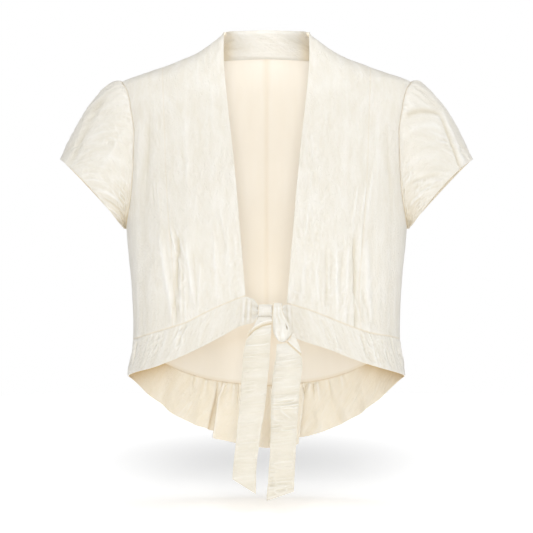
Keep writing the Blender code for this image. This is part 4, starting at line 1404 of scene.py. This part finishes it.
class JACKET_OT_facing(Operator):
    """Lay the crinkled facing inside the back of the neck"""

    bl_idname = "jacket.facing"
    bl_label = "Back neck facing"

    def execute(self, context):
        sizes = context.scene.jacket_cloth
        node = "back_neck_facing"
        lines = back_lines("left", FACING_SAMPLES)[:3]
        lines = [self.upper_end(line, low) for line, low in zip(lines, FACING_LOW.values())]
        turn, height = runs(lines, FACING_COLUMNS)
        depth = sizes.shell_wall + sizes.lining_wall + 2 * sizes.seam_gap
        half = form(turn, height) - depth * form_normal(turn, height)
        half[0, :, 0] = 0
        half[..., 2] += self.rise(len(half))
        points = np.concatenate([half[:0:-1] * np.array((-1, 1, 1)), half])
        hidden, shown = Cloth(points), Cloth(points)
        grain = (hidden.along, hidden.across)
        shown.lift(sizes.lining_wall + hidden.crush("facing", grain, SEEDS[node], "low", "high"))
        # Painted light: the facing takes more of its lighter colour
        shown.tone = shown.tone - FACING_PAINTED_LIGHT
        # Painted shade, in gold, at the facing's two ends
        off = np.abs(points[..., 0]) - NECK_COLUMN["across"][-1]
        shown.gold = FACING_END_PAINTED_SHADE["share"] * bell(off, FACING_END_PAINTED_SHADE["reach"])
        dress(node, shown, (shown.points, hidden.points), grain)
        return {"FINISHED"}

    @staticmethod
    def rise(columns):
        """How far the facing's upper edge stands above the back's: most between its middle and its end."""
        across = np.minimum(np.arange(columns) / FACING_COLUMNS[0], 1)[:, None]
        up = np.linspace(0, 1, FACING_ROWS + 1)
        return FACING_RISE * (1 - across**6) * (1 - (1 - across) ** 3) * up**4

    @staticmethod
    def upper_end(line, low):
        """The part of a line from a height up to its top, in even steps."""
        turn, height = line
        length = running_length(form(turn, height), 0)
        steps = np.linspace(np.interp(low, height, length), length[-1], FACING_ROWS + 1)
        return np.interp(steps, length, turn), np.interp(steps, length, height)


class JACKET_OT_sleeves(Operator):
    """Lay the gathered short sleeves"""

    bl_idname = "jacket.sleeves"
    bl_label = "Sleeves"

    def execute(self, context):
        sizes = context.scene.jacket_cloth
        turned = np.radians(SLEEVE_GRAIN)
        for side in SIDES:
            node = f"sleeve_{side}"
            cloth, angle, along = self.tube(sizes, GATHER_SHARE[side], CUFF_FRONT_LIFT[side])
            around = angle * SLEEVE_RADIUS + 0 * along
            down = along * SLEEVE_LENGTH + 0 * angle
            grain = (
                around * np.cos(turned) + down * np.sin(turned) + SLEEVE_START,
                down * np.cos(turned) - around * np.sin(turned) + SLEEVE_START,
            )
            folds = self.folds(side, cloth, around, down)
            relief = cloth.crush("sleeve", grain, SEEDS[node], "low", "high")
            cloth.lift(relief + self.pucker(side, cloth, around, down) + folds)
            # Painted shade in the folds' troughs and painted light on their ridges
            cloth.tone = -SLEEVE_FOLD["tone"] * FOLD_PAINTED_LIGHT_AND_SHADE * folds
            # Painted shade, in gold, at the underarm
            under = (np.pi - np.abs(angle)) * SLEEVE_RADIUS
            gold = UNDERARM_PAINTED_SHADE["share"] * bell(under, UNDERARM_PAINTED_SHADE["reach"])
            cloth.gold = gold * (1 - UNDERARM_PAINTED_SHADE["fade"] * along)
            cloth.mark_seams(**SEAMS["sleeve"])
            cloth.mirror(side)
            walls = cloth.walls(sizes.shell_wall, ("high",))
            dress(node, cloth, walls, grain)
        return {"FINISHED"}

    @staticmethod
    def folds(side, cloth, around, down):
        """Height of a sleeve's placed folds, flat at the armhole."""
        rows = SLEEVE_FOLDS[side].rows.copy()
        rows[:, [0, 2]] = np.radians(rows[:, [0, 2]]) * SLEEVE_RADIUS
        rows[:, [1, 3]] = rows[:, [1, 3]] * SLEEVE_LENGTH
        return line_folds(rows, around, down) * ramp(cloth.near("low"), SLEEVE_FOLD["start"])

    @staticmethod
    def pucker(side, cloth, around, down):
        """Height of the small puckers that the armhole seam draws: noise round it, fading away from it."""
        off = cloth.near("low")
        wave = noise(around / PUCKER["spacing"] + PUCKER["shift"], down / PUCKER["long"], PUCKER[side])
        return PUCKER["height"] * wave * ramp(off, PUCKER["start"]) * bell(off, PUCKER["reach"])

    @staticmethod
    def tube(sizes, gathered, front_lift):
        """Short tube from the armhole to the cuff, split at the underarm seam: straight runs between the two
        openings, puffed out over the head and raised by its gathers."""
        columns, rows = SLEEVE_GRID
        split = sizes.seam_gap / 2 / SLEEVE_RADIUS
        angle = np.linspace(-np.pi + split, np.pi - split, columns + 1)[:, None]
        along = np.linspace(0, 1, rows + 1)[None, :] ** SLEEVE_ROWS_POWER
        turn, height = armhole(angle)
        seam = form(turn, height)
        middle = np.array((seam[..., 0].mean(), 0, (ARMHOLE_TOP + UNDERARM) / 2))
        normal = form_normal(turn, height)
        inward = middle - seam
        inward = inward - normal * (inward * normal).sum(axis=-1, keepdims=True)
        inward = inward / np.linalg.norm(inward, axis=-1, keepdims=True)
        off = np.array((sizes.seam_gap * SLEEVE_OFF["out"], 0, 0))
        start = seam + inward * sizes.seam_gap * SLEEVE_OFF["in"] + off
        up = np.cos(angle)[..., None]
        ahead = np.sin(angle)[..., None]
        cuff = CUFF_CENTRE + CUFF_UP * up + np.array((0, -CUFF_DEPTH, 0)) * ahead
        cuff = cuff + np.array((0, 0, front_lift)) * np.where(ahead > 0, ahead**2, 0)
        rise = HEAD_RISE + (1 - HEAD_RISE) * (0.5 - 0.5 * np.cos(angle)) ** HEAD_TURN["rise"]
        full = HEAD_FULLNESS * along**rise * (1 - along) ** HEAD_FALL
        full = full * (0.5 + 0.5 * np.cos(angle)) ** HEAD_TURN["full"]
        wave = np.zeros_like(angle)
        for place, half_width, tall in HEAD_GATHERS.rows:
            wave = wave + gathered * tall * bell(np.degrees(angle) - place, half_width)
        full = full + wave * GATHER_FADE.curve("share", along)
        out = HEAD_NORMAL * up + np.array((0, -1, 0)) * ahead
        return Cloth(start + (cuff - start) * along[..., None] + out * full[..., None]), angle, along


class JACKET_OT_peplum(Operator):
    """Lay the gathered peplum under the back"""

    bl_idname = "jacket.peplum"
    bl_label = "Peplum"

    def execute(self, context):
        sizes = context.scene.jacket_cloth
        columns, rows = PEPLUM_GRID
        across = np.linspace(-1, 1, columns + 1)[:, None]
        share = np.linspace(0, 1, rows + 1)
        points, normal = self.sheet(across, share, sizes.seam_gap)
        cloth = Cloth(points)
        x = points[..., 0]
        pleats, slide, slits = self.pleats(x, share)
        wave = self.gathers(x, share, across) + pleats + self.tucks(x, share)
        tangent = np.cross(normal, np.array((0, 0, 1.0)))
        moved = normal * wave[..., None] + tangent * slide[..., None]
        moved[..., 2] = moved[..., 2] + self.hem_step(x, share)
        cloth.points = points + moved + np.array((0, sizes.seam_gap / 2, 0))
        grain = (cloth.across, cloth.along)
        cloth.lift(cloth.crush("peplum", grain, SEEDS["peplum"], "low", "high"))
        # Painted shade in the side corners, the pleats' slits and behind the gap between the tie ends, and a
        # dark line along the top seam
        seam = PEPLUM_SLIT["seam"] * bell(cloth.near("low"), PEPLUM_SLIT["seam_wide"])
        corners = self.corners(x, cloth.points[..., 2])
        cloth.deep = np.max([corners, seam, slits], axis=0) + behind_ties(x)
        walls = cloth.walls(sizes.peplum_wall, ("high", "first", "last"))
        dress("peplum", cloth, walls, grain)
        return {"FINISHED"}

    @staticmethod
    def sheet(across, share, gap):
        """Plain sheet from the back waist seam to the hem, flared by a power of the way down, and its level
        outward normals at the seam."""
        turn = np.pi - np.abs(across) * np.pi / 2
        high = seam_height(WAIST_SEAM, turn, "left") - gap
        top = form(turn, high)
        hem_x = PEPLUM_HALF_WIDTH * np.abs(rounded(np.sin(turn), SECTION_POWER))
        hem_y = PEPLUM_BACK * np.abs(rounded(np.cos(turn), SECTION_POWER))
        hem = np.stack([hem_x, hem_y, PEPLUM_HEM.curve("height", np.degrees(turn))], axis=-1)
        flip = np.stack([np.where(across < 0, -1, 1), np.ones_like(across), np.ones_like(across)], axis=-1)
        points = (top + (hem - top) * share[None, :, None] ** np.array(PEPLUM_FLARE)) * flip
        normal = form_normal(turn, high) * flip * np.array((1, 1, 0))
        return points, normal / np.linalg.norm(normal, axis=-1, keepdims=True)

    @staticmethod
    def gathers(x, share, across):
        """Height of the gathers: bells across the sheet that lean and deepen towards the hem."""
        deepen = GATHER_GROWTH["top"] + (1 - GATHER_GROWTH["top"]) * share ** GATHER_GROWTH["power"]
        deepen = deepen * np.clip((1 - np.abs(across)) / GATHER_GROWTH["ends"], 0, 1)
        wave = np.zeros_like(x)
        for place, lean, half_width, depth in PEPLUM_GATHERS.rows:
            wave = wave + depth * deepen * bell(x - place - lean * share, half_width)
        return wave

    @staticmethod
    def pleats(x, share):
        """The pleats that turn over: their step out of the sheet, the slide of the cloth along it that makes
        them overlap, and the share of painted shade in their slits."""
        wave, slide, slits = np.zeros((3, *x.shape))
        grown = eased(share, *PLEAT["grown"])
        slid = eased(share, *PLEAT["slid"])
        for place, lean, half_width, step, turn_over in PEPLUM_PLEATS.rows:
            off = (x - place - lean * share) / half_width
            wave = wave + step / 2 * grown * np.tanh(PLEAT["steep"] * off) * bell(off, PLEAT["reach"])
            slits = slits + PEPLUM_SLIT["pleat"] * grown * bell(off, PEPLUM_SLIT["pleat_wide"])
            slide = slide - turn_over * slid * half_width * off * np.exp(-(off**2) / 2)
        return wave, slide, slits

    @staticmethod
    def tucks(x, share):
        """Height of the small tucks under the seam, each widening downwards and fading at its reach."""
        wave = np.zeros_like(x)
        for place, lean, half_width, depth, reach in SEAM_TUCKS.rows:
            window = ramp(share, TUCK["start"]) * (1 - ramp(share - TUCK["hold"] * reach, reach))
            wide = TUCK["narrow"] * half_width * (1 + TUCK["widen"] * share)
            wave = wave + TUCK["height"] * depth * window * bell(x - place - lean * share, wide)
        return wave

    @staticmethod
    def hem_step(x, share):
        """How far the hem steps at the two pleats: lower between them, and higher beside them."""
        size = HEM_STEP
        inner = ramp(x - size["from"], size["soft"]) * ramp(size["to"] - x, size["soft"])
        beside = np.maximum(np.maximum(size["from"] - x, x - size["to"]), 0)
        outer = (1 - inner) * np.exp(-beside / size["fade"])
        return size["rise"] * share**2 * (outer - inner)

    @staticmethod
    def corners(x, z):
        """Share of painted shade in the side corners, strongest behind the band's hem and fading below it."""
        side = turn_at(np.abs(x) / PEPLUM_HALF_WIDTH)
        below = seam_height(BAND_HEM, side, "left") - z - PEPLUM_SHADE["drop"]
        shade = PEPLUM_SHADE["share"] * np.exp(-np.maximum(below, 0) / PEPLUM_SHADE["fade"])
        return shade * ramp(np.abs(x) - PEPLUM_SHADE["from"], PEPLUM_SHADE["reach"])


class JACKET_OT_knot(Operator):
    """Tie the knot: its wraps and loop, and the pleated necks that run into it"""

    bl_idname = "jacket.knot"
    bl_label = "Knot"

    def execute(self, context):
        for node, size in WRAPS.items():
            self.strip(node, self.wrap(size, SEEDS[node]), SEAMS["knot_wrap"], "tie_neck_right")
        self.strip("knot_loop", self.loop(SEEDS["knot_loop"]), SEAMS["knot_loop"], "knot_wrap_left")
        for node, table in NECKS.items():
            cloth = self.neck(table, SEEDS[node])
            grain = (cloth.along + NECK_LEAN * cloth.across, cloth.across)
            dress(node, cloth, cloth.walls(NECK_WALL), grain)
        return {"FINISHED"}

    @staticmethod
    def strip(node, cloth, seams, rests_on):
        """Lays one strip of the knot, with golden lines of painted shade along its edges."""
        cloth.mark_seams(**seams)
        walls = cloth.walls(bpy.context.scene.jacket_cloth.tie_wall, ("first", "last"))
        dress(node, cloth, walls, (cloth.across, cloth.along))

    @staticmethod
    def wrap(size, seed):
        """Strip bent round an axis along X: fuller in the middle of its width, its edges drawn in a little,
        with faint ridges along it."""
        columns, rows = WRAP_GRID
        shape = WRAP_SHAPE
        across = np.linspace(-1, 1, columns + 1)[:, None]
        bend = np.radians(np.linspace(WRAP_OPEN / 2, 360 - WRAP_OPEN / 2, rows + 1))[None, :]
        curl = np.clip((np.abs(across) - shape["flat"]) / (1 - shape["flat"]), 0, 1) ** 2
        ridges = np.cos(shape["ridges"] * np.pi * across + size["phase"] + shape["sway"] * np.sin(bend))
        crush = noise(across * shape["cells_across"] + shape["shift"], bend * shape["cells_along"], seed)
        relief = shape["ridge"] * ridges + shape["crush"] * crush
        drawn = shape["bulge"] * across**2 + shape["curl"] * curl
        radius = size["radius"] * (1 - drawn + relief * (1 - curl))
        x = size["middle"][0] + across * size["width"] / 2 + 0 * bend
        y = size["middle"][1] + radius * np.cos(bend)
        z = size["middle"][2] + radius * np.sin(bend)
        return Cloth(np.stack([x, y, z], axis=-1), -1)

    @staticmethod
    def loop(seed):
        """Puffed strip along its middle line, its edges curled in by a power of the way across, with pleats
        that fade downwards and one deep pinch."""
        columns, rows = LOOP_GRID
        shape = LOOP_SHAPE
        across = np.linspace(-1, 1, columns + 1)[:, None]
        along = np.linspace(0, 1, rows + 1)[None, :]
        down_y, down_z = (LOOP.curve(k, along + LOOP_STEP) - LOOP.curve(k, along - LOOP_STEP) for k in "yz")
        length = np.hypot(down_y, down_z)
        sway = shape["phase"] + shape["sway"] * np.sin(shape["bends"] * along)
        pleats = shape["pleat"] * np.cos(shape["pleats"] * np.pi * across + sway)
        pleats = pleats * (1 - shape["fade"] * along)
        crush = noise(across * shape["cells_across"] + shape["shift"], along * shape["cells_along"], seed)
        relief = (pleats + shape["crush"] * crush) * (1 - across**4) * ramp(along, shape["start"])
        pinch = bell(across - LOOP_PINCH["across"], LOOP_PINCH["half_wide"])
        pinch = pinch * bell(along - LOOP_PINCH["along"], LOOP_PINCH["half_long"])
        curled = LOOP_CURL * LOOP.curve("curl", along) * np.abs(across) ** shape["curl_power"]
        inward = curled + relief + LOOP_PINCH["depth"] * pinch
        x = LOOP.curve("x", along) + across * LOOP.curve("half_width", along)
        y = LOOP.curve("y", along) - inward * down_z / length
        z = LOOP.curve("z", along) + inward * down_y / length
        return Cloth(np.stack([x, y, z], axis=-1), -1)

    @staticmethod
    def neck(table, seed):
        """Band end drawn together: its height shrinks as its pleats, a wave across it, grow deeper, with a
        few folds across it near the band."""
        columns, rows = NECK_GRID
        shape = NECK_SHAPE
        width = np.linspace(-1, 1, columns + 1)[:, None]
        across = np.linspace(table["across"][0], table["across"][-1], rows + 1)[None, :]
        up = width * shape["cells_up"] + shape["shift_up"]
        crush = noise(up, across / shape["cell_across"] + shape["shift_across"], seed)
        pleat = np.sin(shape["pleats"] * np.pi * width + shape["phase"]) + shape["crush"] * crush
        tall = table.curve("half_tall", across)
        y = table.curve("y", across) - table.curve("pleat", across) * pleat
        y = y - shape["tilt"] * width * tall / tall.max()
        from_band = np.abs(table["across"]).max() - np.abs(across) - shape["lean"] * width
        folds = np.zeros_like(y)
        for place, half_width, height in NECK_FOLDS.rows:
            folds = folds + height * bell(from_band - place, half_width) * (1 - width**4)
        z = table.curve("z", across) + tall * width
        cloth = Cloth(np.stack([across + 0 * width, y - folds, z], axis=-1), -1)
        # Painted shade in the folds' troughs and painted light on their ridges
        cloth.tone = -shape["tone"] * FOLD_PAINTED_LIGHT_AND_SHADE * folds
        return cloth


class JACKET_OT_tails(Operator):
    """Hang the two tie ends"""

    bl_idname = "jacket.tails"
    bl_label = "Tie ends"

    def execute(self, context):
        sizes = context.scene.jacket_cloth
        free = ("first", "last", "high")
        for node, table in TAILS.items():
            cloth = self.strip(table, TAIL_WOBBLE[node])
            x, z = cloth.points[..., 0], cloth.points[..., 2]
            grain = (TAIL_GRAIN["lean"] * x - z, TAIL_GRAIN["stretch"] * x + TAIL_GRAIN["start"])
            relief = cloth.crush(node, grain, SEEDS[node], *free)
            relief = relief * eased(cloth.near("low"), *TAIL_CALM)
            above = self.above_crease(FLAPS[node], cloth)
            cloth.lift(FLAPS[node]["height"] * self.flap(above) + relief)
            # Painted shade, in gold, just below the flap's crease
            cloth.gold = FLAP_PAINTED_SHADE["share"] * bell(above + FLAP_PAINTED_SHADE["below"], FLAP_PAINTED_SHADE["reach"])
            # Painted light at the tail's top; the rest towards the shade colour
            cloth.tone = TAIL_TONE_AND_PAINTED_LIGHT_TOP["share"] * ramp(cloth.near("low") - TAIL_TONE_AND_PAINTED_LIGHT_TOP["from"], TAIL_TONE_AND_PAINTED_LIGHT_TOP["reach"])
            dress(node, cloth, cloth.walls(sizes.tie_wall, free), grain)
        return {"FINISHED"}

    @staticmethod
    def strip(table, seed):
        """Hanging strip between its two uneven edges, bowed forward in the middle, with a slanted end. Where
        the slant is above 1, the second edge's rise is drawn to that edge."""
        columns, rows = TAIL_GRID
        wobble = TAIL_WOBBLE
        along = np.linspace(0, 1, rows + 1)[None, :] ** TAIL_ROWS_POWER
        share = np.linspace(0, 1, columns + 1)[:, None]
        slanted = share ** table.curve("slant", along)
        x = table.curve("x_first", along) * (1 - share) + table.curve("x_second", along) * share
        wave = noise(along * wobble["along"], share * wobble["across"], seed)
        x = x + wobble["size"] * wave * ramp(along, wobble["start"])
        z = table.curve("z_first", along) * (1 - slanted) + table.curve("z_second", along) * slanted
        y = table.curve("y", along) - table.curve("bow", along) * (1 - (2 * share - 1) ** 2)
        return Cloth(np.stack([x, y, z], axis=-1), -1)

    @staticmethod
    def above_crease(size, cloth):
        """Height above the crease of a flap: a straight run between its ends, bowed up."""
        (x0, z0), (x1, z1) = size["ends"]
        share = (cloth.points[..., 0] - x0) / (x1 - x0)
        crease = z0 + (z1 - z0) * share + 4 * size["bow"] * share * (1 - share)
        return cloth.points[..., 2] - crease

    @staticmethod
    def flap(above):
        """Share of a flap's height: a step up across the crease, with a trough just below it."""
        step = ramp(above + FLAP_STEP["below"], FLAP_STEP["reach"])
        return step - FLAP_STEP["trough"] * bell(above + FLAP_STEP["trough_below"], FLAP_STEP["trough_wide"])


class JACKET_OT_studio(Operator):
    """Set the pale floor, the soft lights and the camera"""

    bl_idname = "jacket.studio"
    bl_label = "Studio"

    def execute(self, context):
        scene = context.scene
        studio = scene.jacket_studio
        scene.view_settings.view_transform = "Standard"
        self.floor(CAD_BOX[0].z - studio.floor_gap)
        aim = Vector((0, 0, studio.eye_height))
        for x, y, z, size, watts in SOFT_BOXES.rows:
            box = bpy.data.lights.new("soft_box", "AREA")
            box.size = size
            self.lamp(box, Vector((x, y, z)), aim, watts * studio.light)
        for reach, aim_height, degrees, watts in BEAMS.rows:
            beam = bpy.data.lights.new("beam", "SPOT")
            beam.spot_size = np.radians(degrees)
            beam.spot_blend = 1.0
            beam.shadow_soft_size = BEAM_SIZE
            self.lamp(beam, Vector(BEAM_PLACE), Vector((0, reach, aim_height)), watts * studio.light)
        scene.world = bpy.data.worlds.new("studio_white")
        white = Finish(scene.world)
        seen = white.node("ShaderNodeLightPath", output="Is Camera Ray")
        white.fill(white.surface, {"Color": (1, 1, 1, 1), "Strength": studio.sky + (1 - studio.sky) * seen})
        lens = bpy.data.cameras.new("camera")
        lens.lens = lens.sensor_width * studio.distance / studio.view_width
        camera = bpy.data.objects.new("camera", lens)
        camera.location = (0, -studio.distance, studio.eye_height)
        camera.rotation_euler = (np.pi / 2, 0, 0)
        scene.collection.objects.link(camera)
        scene.camera = camera
        return {"FINISHED"}

    def floor(self, height):
        """Disc of pale floor that brightens to the white of the studio behind, with one soft dark patch: a
        painted shadow of the jacket, taken out of the floor's glow behind it.
        """
        turn = np.linspace(0, 2 * np.pi, FLOOR_SIDES, endpoint=False)
        rim = np.stack([FLOOR_RADIUS * np.cos(turn), FLOOR_RADIUS * np.sin(turn), height + 0 * turn], axis=-1)
        mesh = bpy.data.meshes.new("floor")
        mesh.from_pydata(rim, [], [list(range(len(turn)))])
        finish = Finish(bpy.data.materials.new("floor"))
        place = finish.node("ShaderNodeTexCoord", output="Object")
        spots = {"Vector": place, "Scale": FLOOR_MOTTLE["scale"], "Detail": FLOOR_MOTTLE["detail"]}
        mottle = finish.node("ShaderNodeTexNoise", None, spots)
        glow = self.spread(finish, place, FLOOR_GLOW)
        shade = self.spread(finish, place, FLOOR_SHADE)
        inputs = {
            "Base Color": opaque(bpy.context.scene.jacket_colours.floor),
            "Roughness": FLOOR_MOTTLE["roughness"] + FLOOR_MOTTLE["rougher"] * mottle,
            "Specular IOR Level": 0.0,
            "Emission Color": glow - shade,
            "Emission Strength": 1.0,
        }
        finish.fill(finish.surface, inputs)
        mesh.materials.append(finish.owner)
        floor = bpy.data.objects.new("floor", mesh)
        bpy.context.scene.collection.objects.link(floor)

    @staticmethod
    def spread(finish, place, size):
        """Value that runs smoothly from one to another with the distance from a point of the floor, counted
        in half widths and half depths."""
        moves = {
            "Vector": place,
            "Location": (0, -size["middle"] / size["half_deep"], 0),
            "Scale": (1 / size["half_wide"], 1 / size["half_deep"], 0),
        }
        moved = finish.node("ShaderNodeMapping", None, moves)
        away = finish.node("ShaderNodeVectorMath", {"operation": "LENGTH"}, {0: moved}, output="Value")
        limits = {
            "Value": away,
            "From Min": size["from"],
            "From Max": size["to"],
            "To Min": size["near"],
            "To Max": size["far"],
        }
        return finish.node("ShaderNodeMapRange", {"interpolation_type": "SMOOTHSTEP"}, limits)

    @staticmethod
    def lamp(light, place, aim, watts):
        """Puts a light in its place, turned to its aim."""
        light.energy = watts
        lamp = bpy.data.objects.new(light.name, light)
        lamp.location = place
        lamp.rotation_euler = (aim - place).to_track_quat("-Z", "Y").to_euler()
        bpy.context.scene.collection.objects.link(lamp)


PIECES = (
    JACKET_OT_fronts,
    JACKET_OT_bands,
    JACKET_OT_backs,
    JACKET_OT_lining,
    JACKET_OT_facing,
    JACKET_OT_sleeves,
    JACKET_OT_peplum,
    JACKET_OT_knot,
    JACKET_OT_tails,
    JACKET_OT_studio,
)
GROUPS = {"jacket_cloth": JacketCloth, "jacket_colours": JacketColours, "jacket_studio": JacketStudio}


class JACKET_PT_pieces(Panel):
    """Lists the jacket's pieces and its settings"""

    bl_label = "Jacket"
    bl_idname = "JACKET_PT_pieces"
    bl_space_type = "VIEW_3D"
    bl_region_type = "UI"
    bl_category = "Jacket"

    def draw(self, context):
        for piece in PIECES:
            self.layout.operator(piece.bl_idname)
        for name, group in GROUPS.items():
            box = self.layout.box()
            for prop in group.__annotations__:
                box.prop(getattr(context.scene, name), prop)


def register():
    for made in (*GROUPS.values(), *PIECES, JACKET_PT_pieces):
        bpy.utils.register_class(made)
    for name, group in GROUPS.items():
        setattr(bpy.types.Scene, name, PointerProperty(type=group))


def unregister():
    for name in GROUPS:
        delattr(bpy.types.Scene, name)
    for made in reversed((*GROUPS.values(), *PIECES, JACKET_PT_pieces)):
        bpy.utils.unregister_class(made)


def main():
    register()
    for piece in PIECES:
        group, name = piece.bl_idname.split(".")
        getattr(getattr(bpy.ops, group), name)()


if __name__ == "__main__":
    main()
